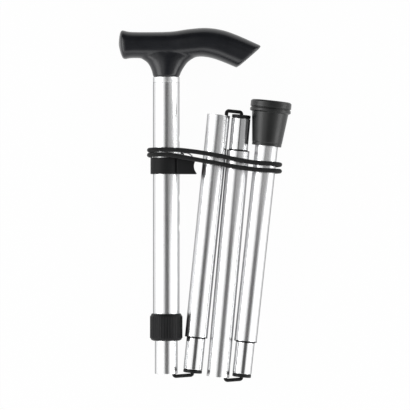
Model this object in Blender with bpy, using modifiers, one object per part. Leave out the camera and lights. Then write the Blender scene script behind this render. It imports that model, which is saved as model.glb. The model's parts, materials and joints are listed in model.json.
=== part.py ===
"""Folding walking pole with a T handle, lying folded: four aluminium sections on one elastic cord.

The pole lies on its side. +Y runs along the handle tube towards the handle, +X towards the folded
sections, and +Z up, away from the surface that it lies on. All sizes are in metres.
"""

import math

import bmesh
import bpy
from mathutils import Matrix, Vector

# Clearances
FIT = 0.0004  # radial play between tubes that slide in one another
TOUCH = 0.0003  # gap left between pieces that rest on one another

# Tubes
OUTER_R = 0.0111
TUBE_R = 0.0095
WALL = 0.0012
OUTER_LENGTH = 0.2170
LOWER_TOP = 0.0380  # depth of the lower tube's top end below the handle, at the shortest setting
LOWER_END = 0.2497  # depth of the lower tube's mouth below the handle
SPIGOT_OUT = 0.0300  # length of a spigot that stands out of its section, with its plug
SPIGOT_IN = 0.0250
SPIGOT_WALL = 0.0010
PLUG_RIM = 0.0028
PLUG_DEPTH = 0.0080
PLUG_HOLE_R = 0.0021

# Folded layout
SECTION_2_LENGTH = 0.2181
SECTION_3_LENGTH = 0.2212
TIP_STANDS_OUT = 0.0123  # how much longer than section 3, so that the tip's flange clears its spigot
SECTION_4_LENGTH = SECTION_3_LENGTH + TIP_STANDS_OUT
LEAN_2 = math.radians(5.82)  # how far each folded section leans from the handle tube
LEAN_3 = math.radians(5.15)
LEAN_4 = math.radians(6.19)
PIVOT_1_R = 0.01095  # distance from each fold's centre to the two tube axes that it joins
PIVOT_2_R = 0.0095
PIVOT_3_R = 0.0099
PIVOT_1_OUT = 0.0006  # how far each fold's centre lies beyond the mouth
PIVOT_2_OUT = 0.0024
PIVOT_3_OUT = 0.0006
PIVOT_1_BACK = 0.0024  # how far each spigot's end lies behind the fold's centre
PIVOT_2_BACK = 0.0006
PIVOT_3_BACK = 0.0024

# Handle
NECK_R = 0.0112
BOSS_DEPTH = 0.0240
CAP_MARGIN = 0.0022
CAP_DEPTH = 0.0022
HANDLE_SIDES = 24

# Height adjustment
HOLE_PITCH = 0.0250
HOLE_COUNT = 4
FIRST_HOLE = 0.0520
BUTTON_R = 0.0028
BUTTON_LENGTH = 0.0075
BUTTON_FLANGE_R = 0.0039
BUTTON_FLANGE = 0.0008
SPRING_THICK = 0.0005
SPRING_WIDTH = 0.0050
SPRING_REACH = 0.0150
SPRING_BEND = 0.0080
GUIDE_BORE = 0.0030
GUIDE_RIM = 0.0050
GUIDE_INSERT = 0.0040

# Locking collar
COLLAR_R = 0.0137
COLLAR_LENGTH = 0.0227
COLLAR_LIP = 0.0014
COLLAR_ROUND = 0.0022
BUSH_LENGTH = 0.0028
BUSH_SLIT = 0.0012

# Clip, ring and lanyard
CLIP_TOP = 0.0680
CLIP_LENGTH = 0.0139
CLIP_WALL = 0.0019
JAW_LENGTH = 0.0134
JAW_WALL = 0.0021
JAW_REACH = 0.0257
JAW_WEB = 0.0014
JAW_NOTCH = 0.0024
JAW_NOTCH_R = 0.0090
LUG_LENGTH = 0.0034
LUG_TOP = 0.0694
LUG_HOLE_R = 0.0012
LUG_WALL = 0.0010
RING_R = 0.0074
RING_WIRE_R = 0.0006
STRAND_R = 0.0019
SLEEVE_R = 0.0023
CONNECTOR_R = 0.0017
LOOP_R = 0.00055
RING_STEPS = 28
RING_SIDES = 6

# Elastic cord
CORD_R = 0.0015
ANCHOR_DEPTH = 0.0800  # depth of the upper anchor below the handle
ANCHOR_LENGTH = 0.0060
KNOT_R = 0.0032
BEND_R = 0.0018  # radius of the cord's turn over each mouth
BEND_STEPS = 6
CORD_DRIFT = 0.0260  # length over which the cord moves from a tube's axis to its wall

# Rubber tip
TIP_LENGTH = 0.0380
TIP_FLANGE_R = 0.0172
TIP_FLANGE = 0.0092
TIP_SHOULDER_R = 0.0154
TIP_NECK_R = 0.0124
TIP_SOLE = 0.0070
WASHER = 0.0016
TIP_ANCHOR = 0.0180  # distance from the sole to the lower cord anchor

SIDES = 40  # sides of a tube
SMALL_SIDES = 20
MERGE = 0.00002

for old in list(bpy.data.objects):
    bpy.data.objects.remove(old, do_unlink=True)

pole = bpy.data.collections.new("folding_pole")
cutters = bpy.data.collections.new("cutters")
bpy.context.scene.collection.children.link(pole)
bpy.context.scene.collection.children.link(cutters)
cutters.hide_render = True
carriers = {}  # empty to its rest matrix


def material(name, colour, metallic, roughness):
    """A plain Principled material."""
    made = bpy.data.materials.new(name)
    made.use_nodes = True
    made.diffuse_color = (*colour, 1.0)
    shader = made.node_tree.nodes["Principled BSDF"]
    shader.inputs["Base Color"].default_value = (*colour, 1.0)
    shader.inputs["Metallic"].default_value = metallic
    shader.inputs["Roughness"].default_value = roughness
    return made


ALUMINIUM = ("polished aluminium", (0.85, 0.85, 0.86), 1.0, 0.18)
STEEL = ("bright steel", (0.72, 0.72, 0.74), 1.0, 0.25)
BLACK_PLASTIC = ("black plastic", (0.018, 0.019, 0.021), 0.0, 0.42)
BLACK_RUBBER = ("black rubber", (0.030, 0.031, 0.033), 0.0, 0.70)
BLACK_CORD = ("black cord", (0.012, 0.012, 0.013), 0.0, 0.85)


def carrier(name, matrix, parent=None):
    """An empty that carries the pieces of one moving body."""
    empty = bpy.data.objects.new(name, None)
    pole.objects.link(empty)
    empty.empty_display_size = 0.01
    attach(empty, parent, matrix)
    carriers[empty] = matrix.copy()
    return empty


def attach(obj, parent, matrix):
    """Places an object by its rest matrix, as a child of a carrier."""
    if parent is not None:
        obj.parent = parent
        obj.matrix_parent_inverse = carriers[parent].inverted()
    obj.matrix_basis = matrix


def add(name, mesh, parent, matrix, finish, group=pole):
    """A named object from a mesh; a cutter has no finish."""
    obj = bpy.data.objects.new(name, mesh)
    group.objects.link(obj)
    attach(obj, parent, matrix)
    if finish is None:
        obj.hide_render = True
        obj.display_type = "WIRE"
    else:
        mesh.materials.append(material(name + " " + finish[0], *finish[1:]))
    return obj


def along(x, y, angle):
    """A frame at (x, y) whose Z points along angle in the fold's plane, and whose Y points up."""
    direction = Vector((math.cos(angle), math.sin(angle), 0.0))
    up = Vector((0.0, 0.0, 1.0))
    side = up.cross(direction)
    frame = Matrix((side, up, direction)).transposed().to_4x4()
    frame.translation = Vector((x, y, 0.0))
    return frame


def lathe(name, profile, parent, matrix, finish, sides=SIDES, closed=True):
    """A solid turned about Z from a (radius, z) outline that runs down its outer side."""
    mesh = bpy.data.meshes.new(name)
    count = len(profile)
    edges = [(i, i + 1) for i in range(count - 1)]
    if closed:
        edges.append((count - 1, 0))
    mesh.from_pydata([(radius, 0.0, z) for radius, z in profile], edges, [])
    obj = add(name, mesh, parent, matrix, finish)
    screw = obj.modifiers.new("turn", "SCREW")
    screw.steps = sides
    screw.render_steps = sides
    screw.use_merge_vertices = True
    screw.merge_threshold = MERGE
    screw.use_smooth_shade = True
    return obj


def pipe_profile(outer, inner, low, high, edge=0.0):
    """The outline of a tube between two heights, with its outer edges broken."""
    if edge == 0.0:
        return [(inner, high), (outer, high), (outer, low), (inner, low)]
    return [
        (inner, high),
        (outer - edge, high),
        (outer, high - edge),
        (outer, low + edge),
        (outer - edge, low),
        (inner, low),
    ]


def cut(obj, cutter, operation="DIFFERENCE"):
    """A Boolean of one object by another."""
    boolean = obj.modifiers.new(operation.lower() + " " + cutter.name, "BOOLEAN")
    boolean.operation = operation
    boolean.solver = "EXACT"
    boolean.object = cutter


def rod(name, radius, low, high, parent, matrix, sides=SMALL_SIDES):
    """A plain cylinder along Z between two heights, as a cutter."""
    mesh = bpy.data.meshes.new(name)
    shape = bmesh.new()
    bmesh.ops.create_cone(
        shape, cap_ends=True, segments=sides, radius1=radius, radius2=radius, depth=high - low
    )
    bmesh.ops.translate(shape, verts=shape.verts, vec=(0.0, 0.0, (low + high) / 2))
    shape.to_mesh(mesh)
    shape.free()
    return add(name, mesh, parent, matrix, None, cutters)


def block(name, low, high, parent, matrix):
    """A box between two corners, as a cutter."""
    mesh = bpy.data.meshes.new(name)
    shape = bmesh.new()
    bmesh.ops.create_cube(shape, size=1.0)
    low, high = Vector(low), Vector(high)
    bmesh.ops.scale(shape, verts=shape.verts, vec=high - low)
    bmesh.ops.translate(shape, verts=shape.verts, vec=(low + high) / 2)
    shape.to_mesh(mesh)
    shape.free()
    return add(name, mesh, parent, matrix, None, cutters)


def evened(points, spacing):
    """The given points with more between those that lie far apart."""
    made = [points[0]]
    for start, end in zip(points, points[1:]):
        count = max(1, round((end - start).length / spacing))
        made.extend(start.lerp(end, i / count) for i in range(1, count + 1))
    return made


def smooth_route(points, spacing):
    """Evenly spaced points on a Catmull-Rom curve through the given ones."""
    points = [Vector(p) for p in points]
    ends = [2 * points[0] - points[1], *points, 2 * points[-1] - points[-2]]
    fine = []
    for a, b, c, d in zip(ends, ends[1:], ends[2:], ends[3:]):
        for step in range(24):
            t = step / 24
            fine.append(
                0.5
                * (
                    2 * b
                    + (c - a) * t
                    + (2 * a - 5 * b + 4 * c - d) * t * t
                    + (3 * b - a - 3 * c + d) * t**3
                )
            )
    fine.append(points[-1])
    lengths = [0.0]
    for p, q in zip(fine, fine[1:]):
        lengths.append(lengths[-1] + (q - p).length)
    count = max(2, round(lengths[-1] / spacing))
    route, at = [], 0
    for i in range(count + 1):
        target = lengths[-1] * i / count
        while at < len(fine) - 2 and lengths[at + 1] < target:
            at += 1
        span = lengths[at + 1] - lengths[at]
        route.append(fine[at].lerp(fine[at + 1], (target - lengths[at]) / span))
    return route, lengths[-1]


def strand(name, points, radius, parent, matrix, finish, spacing=None, last_radius=None):
    """A round cord along a route, with filled ends, which can change its radius on the way."""
    route, length = smooth_route(points, spacing or 5 * radius)
    curve = bpy.data.curves.new(name, "CURVE")
    curve.dimensions = "3D"
    curve.bevel_depth = radius
    curve.bevel_resolution = 2
    curve.use_fill_caps = True
    spline = curve.splines.new("POLY")
    spline.points.add(len(route) - 1)
    for i, (point, spot) in enumerate(zip(spline.points, route)):
        point.co = (*spot, 1.0)
        if last_radius:
            share = i / (len(route) - 1)
            point.radius = 1.0 + (last_radius / radius - 1.0) * share
    obj = bpy.data.objects.new(name, curve)
    pole.objects.link(obj)
    attach(obj, parent, matrix)
    curve.materials.append(material(name + " " + finish[0], *finish[1:]))
    print(f"{name}: {1000 * length:.1f} mm long")
    return obj


def loft(name, rings, ends, parent, finish, group=pole):
    """A skin over closed rings of equal count, each end closed by a fan to one point."""
    mesh = bpy.data.meshes.new(name)
    shape = bmesh.new()
    rows = [[shape.verts.new(point) for point in ring] for ring in rings]
    for row, following in zip(rows, rows[1:]):
        for i in range(len(row)):
            j = (i + 1) % len(row)
            shape.faces.new((row[i], row[j], following[j], following[i]))
    for row, end in ((rows[0], ends[0]), (rows[-1], ends[1])):
        middle = shape.verts.new(end)
        for i in range(len(row)):
            shape.faces.new((row[i], row[(i + 1) % len(row)], middle))
    bmesh.ops.recalc_face_normals(shape, faces=shape.faces)
    shape.to_mesh(mesh)
    shape.free()
    mesh.shade_smooth()
    return add(name, mesh, parent, Matrix(), finish, group)


def oval(centre, half_a, half_b, squareness):
    """A closed ring of points on a superellipse with the two given half axes."""
    ring = []
    for i in range(HANDLE_SIDES):
        turn = math.tau * i / HANDLE_SIDES
        a, b = (
            math.copysign(abs(value) ** (2 / squareness), value)
            for value in (math.cos(turn), math.sin(turn))
        )
        ring.append(Vector(centre) + Vector(half_a) * a + Vector(half_b) * b)
    return ring


def blended(stations, steps):
    """Stations of equal size with more between them, on a Catmull-Rom curve."""
    rows = [Vector(station) for station in stations]
    ends = [2 * rows[0] - rows[1], *rows, 2 * rows[-1] - rows[-2]]
    made = []
    for a, b, c, d in zip(ends, ends[1:], ends[2:], ends[3:]):
        for step in range(steps):
            t = step / steps
            bend = (2 * a - 5 * b + 4 * c - d) * t * t + (3 * b - a - 3 * c + d) * t**3
            made.append(0.5 * (2 * b + (c - a) * t + bend))
    made.append(rows[-1])
    return made


def heading(angle):
    """A unit vector in the fold's plane."""
    return Vector((math.cos(angle), math.sin(angle), 0.0))


class Fold:
    """Where a section lies when it is folded beside the one that carries it."""

    def __init__(self, mouth, parent_angle, child_angle, radius, out, back):
        toward = heading(parent_angle)
        right = Vector((abs(toward.y), -toward.x * math.copysign(1.0, toward.y), 0.0))
        self.parent_angle = parent_angle
        self.angle = child_angle
        self.turn = math.remainder(child_angle - parent_angle, math.tau)
        self.pivot = mouth + out * toward + radius * right
        unfolded = mouth + (out + back) * toward
        folding = Matrix.Rotation(self.turn, 3, "Z")
        self.end = self.pivot + folding @ (unfolded - self.pivot)
        self.travel = SPIGOT_OUT + out + back - TOUCH
        self.mouth = mouth
        self.right = right

    def frame(self):
        return along(self.end.x, self.end.y, self.angle)


UP = math.radians(90.0)
fold_1 = Fold(
    Vector((0.0, -LOWER_END, 0.0)), -UP, UP - LEAN_2, PIVOT_1_R, PIVOT_1_OUT, PIVOT_1_BACK
)
fold_2 = Fold(
    fold_1.end + SECTION_2_LENGTH * heading(fold_1.angle),
    fold_1.angle,
    -UP - LEAN_3,
    PIVOT_2_R,
    PIVOT_2_OUT,
    PIVOT_2_BACK,
)
fold_3 = Fold(
    fold_2.end + SECTION_3_LENGTH * heading(fold_2.angle),
    fold_2.angle,
    UP - LEAN_4,
    PIVOT_3_R,
    PIVOT_3_OUT,
    PIVOT_3_BACK,
)

OUTER_BORE = OUTER_R - WALL
TUBE_BORE = TUBE_R - WALL
SPIGOT_R = TUBE_BORE - FIT
TUBE_AXIS = along(0.0, 0.0, -UP)  # Z is the depth below the handle

root = carrier("pole", Matrix())
handle_section = carrier("handle_section", Matrix(), root)
lower_section = carrier("lower_section", TUBE_AXIS, root)
elbow_1 = carrier("fold_1_axis", Matrix.Translation(fold_1.pivot), lower_section)
section_2 = carrier("section_2", fold_1.frame(), elbow_1)
elbow_2 = carrier("fold_2_axis", Matrix.Translation(fold_2.pivot), section_2)
section_3 = carrier("section_3", fold_2.frame(), elbow_2)
elbow_3 = carrier("fold_3_axis", Matrix.Translation(fold_3.pivot), section_3)
section_4 = carrier("section_4", fold_3.frame(), elbow_3)
clip_turn = carrier("clip_turn_axis", TUBE_AXIS, root)
collar_turn = carrier("collar_turn_axis", TUBE_AXIS, root)

# The grip's bar as stations: bottom x and y, top x and y, half width, from heel to nose
BAR = (
    (-0.0383, 0.0195, -0.0394, 0.0345, 0.0085),
    (-0.0357, 0.0149, -0.0375, 0.0391, 0.0130),
    (-0.0290, 0.0157, -0.0305, 0.0378, 0.0134),
    (-0.0120, 0.0155, -0.0120, 0.0376, 0.0138),
    (0.0060, 0.0155, 0.0050, 0.0381, 0.0144),
    (0.0200, 0.0162, 0.0190, 0.0401, 0.0152),
    (0.0300, 0.0170, 0.0335, 0.0411, 0.0158),
    (0.0395, 0.0154, 0.0470, 0.0393, 0.0155),
    (0.0485, 0.0122, 0.0600, 0.0349, 0.0147),
    (0.0593, 0.0076, 0.0804, 0.0258, 0.0132),
)
HEEL = (-0.0402, 0.0270, 0.0)
# The grip's neck as stations: height, left and right edge, half width
NECK = (
    (0.0, -NECK_R, NECK_R, NECK_R),
    (0.0040, -0.0119, 0.0126, 0.0116),
    (0.0090, -0.0139, 0.0156, 0.0121),
    (0.0125, -0.0166, 0.0184, 0.0126),
    (0.0152, -0.0206, 0.0222, 0.0128),
    (0.0180, -0.0245, 0.0265, 0.0124),
    (0.0230, -0.0240, 0.0270, 0.0110),
    (0.0280, -0.0170, 0.0200, 0.0080),
)
GRIP_SQUARENESS = 2.35
ROUND = 2.0
BAR_ROWS = blended(BAR, 3)
NECK_ROWS = blended(NECK, 2)


def nose_frame():
    """A frame on the nose's slanted end face, Z pointing out of it, X along its length."""
    low_x, low_y, high_x, high_y, _ = BAR[-1]
    length = Vector((high_x - low_x, high_y - low_y, 0.0)).normalized()
    outward = Vector((length.y, -length.x, 0.0))
    frame = Matrix((length, outward.cross(length), outward)).transposed().to_4x4()
    frame.translation = Vector(((low_x + high_x) / 2, (low_y + high_y) / 2, 0.0))
    return frame


def nose_plug(name, shrink, low, high, parent, finish, group):
    """An oval plate that follows the nose's end face, between two depths below it."""
    low_x, low_y, high_x, high_y, half_width = BAR[-1]
    half_length = math.hypot(high_x - low_x, high_y - low_y) / 2
    frame = nose_frame()
    rings = []
    for depth in (low, high):
        spot = frame @ Vector((0.0, 0.0, depth))
        tall = frame.to_3x3() @ Vector((half_length - shrink, 0.0, 0.0))
        wide = Vector((0.0, 0.0, half_width - shrink))
        rings.append(oval(spot, tall, wide, GRIP_SQUARENESS))
    ends = [frame @ Vector((0.0, 0.0, depth)) for depth in (low, high)]
    return loft(name, rings, ends, parent, finish, group)


def make_handle():
    """The moulded T grip: a bar lofted from heel to nose on a flared neck with a boss."""
    rings = []
    for low_x, low_y, high_x, high_y, half_width in BAR_ROWS:
        centre = ((low_x + high_x) / 2, (low_y + high_y) / 2, 0.0)
        tall = ((high_x - low_x) / 2, (high_y - low_y) / 2, 0.0)
        rings.append(oval(centre, tall, (0.0, 0.0, half_width), GRIP_SQUARENESS))
    nose = nose_frame().translation
    grip = loft("handle", rings, (HEEL, nose), handle_section, BLACK_PLASTIC)
    neck_rings = []
    for height, left, right, half_width in NECK_ROWS:
        centre = ((left + right) / 2, height, 0.0)
        wide = ((right - left) / 2, 0.0, 0.0)
        neck_rings.append(oval(centre, wide, (0.0, 0.0, half_width), ROUND))
    foot = ((NECK[0][1] + NECK[0][2]) / 2, NECK[0][0], 0.0)
    crown = ((NECK[-1][1] + NECK[-1][2]) / 2, NECK[-1][0], 0.0)
    neck = loft("neck_form", neck_rings, (foot, crown), handle_section, None, cutters)
    cut(grip, neck, "UNION")
    boss = rod(
        "boss_form",
        OUTER_BORE - FIT,
        -NECK[2][0],
        BOSS_DEPTH,
        handle_section,
        TUBE_AXIS,
        SIDES,
    )
    cut(grip, boss, "UNION")
    recess = nose_plug(
        "nose_recess", CAP_MARGIN, -CAP_DEPTH, CAP_DEPTH, handle_section, None, cutters
    )
    cut(grip, recess)
    nose_plug(
        "nose_cap",
        CAP_MARGIN + TOUCH,
        TOUCH - CAP_DEPTH,
        -TOUCH,
        handle_section,
        BLACK_PLASTIC,
        pole,
    )


def chamfered_disc(radius, low, high, edge):
    """The outline of a solid disc from its axis, with broken edges."""
    return [
        (0.0, high),
        (radius - edge, high),
        (radius, high - edge),
        (radius, low + edge),
        (radius - edge, low),
        (0.0, low),
    ]


def make_outer_tube():
    """The tube that the handle is plugged into, with its row of height holes on the nose side."""
    profile = pipe_profile(OUTER_R, OUTER_BORE, TOUCH, OUTER_LENGTH)
    tube = lathe("outer_tube", profile, handle_section, TUBE_AXIS, ALUMINIUM)
    for i in range(HOLE_COUNT):
        depth = FIRST_HOLE + i * HOLE_PITCH
        hole = rod(
            f"height_hole_{i + 1}",
            BUTTON_R + FIT,
            TUBE_R / 2,
            OUTER_R + FIT,
            handle_section,
            along(0.0, -depth, 0.0),
        )
        cut(tube, hole)


def make_collar():
    """The locking collar, turned by hand, and the split bush that it squeezes."""
    bush_low = OUTER_LENGTH + TOUCH
    ledge = bush_low + BUSH_LENGTH + FIT
    low = ledge + COLLAR_LIP
    top = low - COLLAR_LENGTH
    bore = OUTER_R + TOUCH
    lip_r = TUBE_R + TOUCH
    side = COLLAR_ROUND
    profile = [
        (lip_r, low),
        (COLLAR_R - side, low),
        (COLLAR_R - side / 3, low - side / 3),
        (COLLAR_R, low - side),
        (COLLAR_R, top + side),
        (COLLAR_R - side / 3, top + side / 3),
        (COLLAR_R - side / 2, top),
        (bore, top),
        (bore, ledge),
        (lip_r, ledge),
    ]
    lathe("locking_collar", profile, collar_turn, TUBE_AXIS, BLACK_PLASTIC)
    outline = pipe_profile(OUTER_R, lip_r, bush_low, bush_low + BUSH_LENGTH)
    bush = lathe("split_bush", outline, handle_section, TUBE_AXIS, BLACK_PLASTIC)
    slit = block(
        "bush_slit",
        (0.0, -BUSH_SLIT / 2, OUTER_LENGTH),
        (COLLAR_R, BUSH_SLIT / 2, OUTER_LENGTH + COLLAR_LENGTH),
        handle_section,
        TUBE_AXIS,
    )
    cut(bush, slit)


def make_lower_tube():
    """The tube that slides in the outer one: its guide bush, sprung button and cord anchor."""
    profile = pipe_profile(TUBE_R, TUBE_BORE, LOWER_TOP, LOWER_END)
    tube = lathe("lower_tube", profile, lower_section, TUBE_AXIS, ALUMINIUM)
    button_axis = along(0.0, -FIRST_HOLE, 0.0)
    hole = rod(
        "button_hole", BUTTON_R + TOUCH, TUBE_R / 2, OUTER_R, lower_section, button_axis
    )
    cut(tube, hole)
    guide_r = OUTER_BORE - TOUCH
    insert_r = TUBE_BORE - TOUCH
    rim = LOWER_TOP - TOUCH
    guide = [
        (GUIDE_BORE, rim + GUIDE_INSERT),
        (insert_r, rim + GUIDE_INSERT),
        (insert_r, rim),
        (guide_r, rim),
        (guide_r, rim - GUIDE_RIM),
        (GUIDE_BORE, rim - GUIDE_RIM),
    ]
    lathe("guide_bush", guide, lower_section, TUBE_AXIS, BLACK_PLASTIC)
    anchor = pipe_profile(
        insert_r, PLUG_HOLE_R, ANCHOR_DEPTH, ANCHOR_DEPTH + ANCHOR_LENGTH
    )
    lathe("upper_cord_anchor", anchor, lower_section, TUBE_AXIS, BLACK_PLASTIC)
    ball("upper_cord_knot", KNOT_R, ANCHOR_DEPTH - TOUCH - KNOT_R, lower_section, TUBE_AXIS)


def ball(name, radius, height, parent, matrix):
    """The knot that stops the elastic cord, as a ball on its axis."""
    mesh = bpy.data.meshes.new(name)
    shape = bmesh.new()
    bmesh.ops.create_uvsphere(shape, u_segments=12, v_segments=8, radius=radius)
    bmesh.ops.translate(shape, verts=shape.verts, vec=(0.0, 0.0, height))
    shape.to_mesh(mesh)
    shape.free()
    mesh.shade_smooth()
    return add(name, mesh, parent, matrix, BLACK_CORD)


def make_button():
    """The button, held in at rest under the top hole, and the leaf spring that pushes it out."""
    inner = TUBE_R - BUTTON_LENGTH
    dome = BUTTON_R / 3
    profile = [
        (0.0, TUBE_R),
        (BUTTON_R - dome, TUBE_R - dome / 4),
        (BUTTON_R, TUBE_R - dome),
        (BUTTON_R, inner),
        (BUTTON_FLANGE_R, inner),
        (BUTTON_FLANGE_R, inner - BUTTON_FLANGE),
        (0.0, inner - BUTTON_FLANGE),
    ]
    axis = along(0.0, -FIRST_HOLE, 0.0)
    button_slide = carrier("button_axis", axis, lower_section)
    lathe("snap_button", profile, button_slide, axis, STEEL, SMALL_SIDES, closed=False)

    leaf_x = inner - BUTTON_FLANGE - FIT - SPRING_THICK
    wall_x = math.sqrt((TUBE_BORE - TOUCH) ** 2 - SPRING_WIDTH**2 / 4) - SPRING_THICK
    depth = FIRST_HOLE
    route = [
        (-wall_x, depth + SPRING_REACH),
        (-wall_x, depth + SPRING_REACH / 4),
        (-wall_x * 0.98, depth),
        (-wall_x * 0.83, depth - SPRING_BEND * 0.7),
        (-wall_x * 0.47, depth - SPRING_BEND),
        (-wall_x * 0.13, depth - SPRING_BEND * 0.7),
        (leaf_x * 0.5, depth - SPRING_BEND * 0.3),
        (leaf_x, depth),
        (leaf_x + SPRING_THICK / 2, depth + SPRING_REACH / 3),
        (leaf_x + 2 * SPRING_THICK, depth + SPRING_REACH / 2),
    ]
    points, _ = smooth_route([(x, 0.0, z) for x, z in route], SPRING_WIDTH / 5)
    mesh = bpy.data.meshes.new("button_spring")
    shape = bmesh.new()
    half = Vector((0.0, SPRING_WIDTH / 2, 0.0))
    rows = [(shape.verts.new(p - half), shape.verts.new(p + half)) for p in points]
    for (a, b), (c, d) in zip(rows, rows[1:]):
        shape.faces.new((a, b, d, c))
    shape.to_mesh(mesh)
    shape.free()
    leaf = add("button_spring", mesh, lower_section, TUBE_AXIS, STEEL)
    solidify = leaf.modifiers.new("thickness", "SOLIDIFY")
    solidify.thickness = SPRING_THICK
    solidify.offset = 0.0


def make_section(number, fold, parent, length, next_side, tube_end):
    """One folding section: its tube, the spigot that plugs it on, and the spigot's end plug."""
    frame = fold.frame()
    profile = pipe_profile(TUBE_R, TUBE_BORE, SPIGOT_OUT, tube_end)
    lathe(f"tube_{number}", profile, parent, frame, ALUMINIUM)
    spigot = pipe_profile(
        SPIGOT_R, SPIGOT_R - SPIGOT_WALL, PLUG_RIM + TOUCH, SPIGOT_OUT + SPIGOT_IN
    )
    lathe(f"spigot_{number}", spigot, parent, frame, ALUMINIUM)
    edge = PLUG_RIM / 4
    insert_r = SPIGOT_R - SPIGOT_WALL - TOUCH
    plug = [
        (PLUG_HOLE_R, PLUG_DEPTH),
        (insert_r, PLUG_DEPTH),
        (insert_r, PLUG_RIM),
        (SPIGOT_R, PLUG_RIM),
        (SPIGOT_R, edge),
        (SPIGOT_R - edge, 0.0),
        (PLUG_HOLE_R, 0.0),
    ]
    lathe(f"spigot_plug_{number}", plug, parent, frame, BLACK_PLASTIC)
    if next_side:
        offset = next_side * (TUBE_BORE - CORD_R - FIT)
        cord_run(number, parent, frame, TOUCH, length, offset)


def cord_run(number, parent, frame, start, mouth, offset):
    """The elastic cord inside one section, drawn to the side of its mouth that it leaves by."""
    points = [
        (0.0, 0.0, start),
        (0.0, 0.0, start + (mouth - start) * 0.5),
        (0.0, 0.0, mouth - CORD_DRIFT),
        (offset * 0.5, 0.0, mouth - CORD_DRIFT * 0.5),
        (offset * 0.95, 0.0, mouth - CORD_DRIFT * 0.1),
        (offset, 0.0, mouth - 2 * TOUCH),
    ]
    strand(f"cord_run_{number}", points, CORD_R, parent, frame, BLACK_CORD, 4 * CORD_R)


def cord_bend(number, fold, parent):
    """The stretch of elastic cord over one open fold: round one mouth's rim and into the next."""
    outward = heading(fold.parent_angle)
    inward = heading(fold.angle)
    side = (fold.right - fold.right.dot(inward) * inward).normalized()
    start = fold.mouth + 1.5 * TOUCH * outward + (TUBE_BORE - CORD_R - FIT) * fold.right
    end = fold.end - 1.5 * TOUCH * inward
    lift = max(0.0, (end - start).dot(outward))
    turns = [math.pi / 2 * i / BEND_STEPS for i in range(BEND_STEPS + 1)]
    points = [start] if lift else []
    for turn in turns:
        across, rise = BEND_R * (1.0 - math.cos(turn)), BEND_R * math.sin(turn)
        points.append(start + across * fold.right + (lift + rise) * outward)
    for turn in reversed(turns):
        across, rise = BEND_R * (1.0 - math.cos(turn)), BEND_R * math.sin(turn)
        points.append(end - across * side - rise * inward)
    route = evened(points, BEND_R / BEND_STEPS)
    strand(f"cord_bend_{number}", route, CORD_R, parent, Matrix(), BLACK_CORD, CORD_R / 2)


def make_tip(length):
    """The rubber tip, the washer in it and the lower cord anchor, at the last section's end."""
    frame = fold_3.frame()
    bore = TUBE_R + TOUCH
    foot = length - TIP_LENGTH
    edge = TIP_SOLE / 4
    profile = [
        (0.0, length),
        (TIP_FLANGE_R - edge, length),
        (TIP_FLANGE_R, length - edge),
        (TIP_FLANGE_R, length - TIP_FLANGE),
        (TIP_SHOULDER_R, length - TIP_FLANGE - edge / 2),
        (TIP_NECK_R, foot),
        (bore, foot),
        (bore, length - TIP_SOLE),
        (0.0, length - TIP_SOLE),
    ]
    lathe("rubber_tip", profile, section_4, frame, BLACK_RUBBER, closed=False)
    washer_top = length - TIP_SOLE - TOUCH
    washer = chamfered_disc(TUBE_R, washer_top - WASHER, washer_top, WASHER / 6)
    lathe("tip_washer", washer, section_4, frame, STEEL, closed=False)
    anchor_top = length - TIP_ANCHOR
    anchor = pipe_profile(
        TUBE_BORE - TOUCH, PLUG_HOLE_R, anchor_top - ANCHOR_LENGTH, anchor_top
    )
    lathe("lower_cord_anchor", anchor, section_4, frame, BLACK_PLASTIC)
    ball("lower_cord_knot", KNOT_R, anchor_top + TOUCH + KNOT_R, section_4, frame)
    cord_run(4, section_4, frame, TOUCH, anchor_top, 0.0)


JAW_BORE = TUBE_R + TOUCH
JAW_CENTRE = OUTER_R + TOUCH + JAW_WEB + JAW_BORE
JAW_SIDE = JAW_BORE + JAW_WALL
LUG_DROP = LUG_WALL + 2 * LUG_HOLE_R
RING_X = OUTER_R - 2 * LUG_HOLE_R
RING_LEVEL = JAW_SIDE + LUG_WALL / 2 + LUG_HOLE_R
RING_TILT = math.asin((TIP_FLANGE_R - TOUCH / 3 - RING_WIRE_R - RING_LEVEL) / (2 * RING_R))


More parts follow.
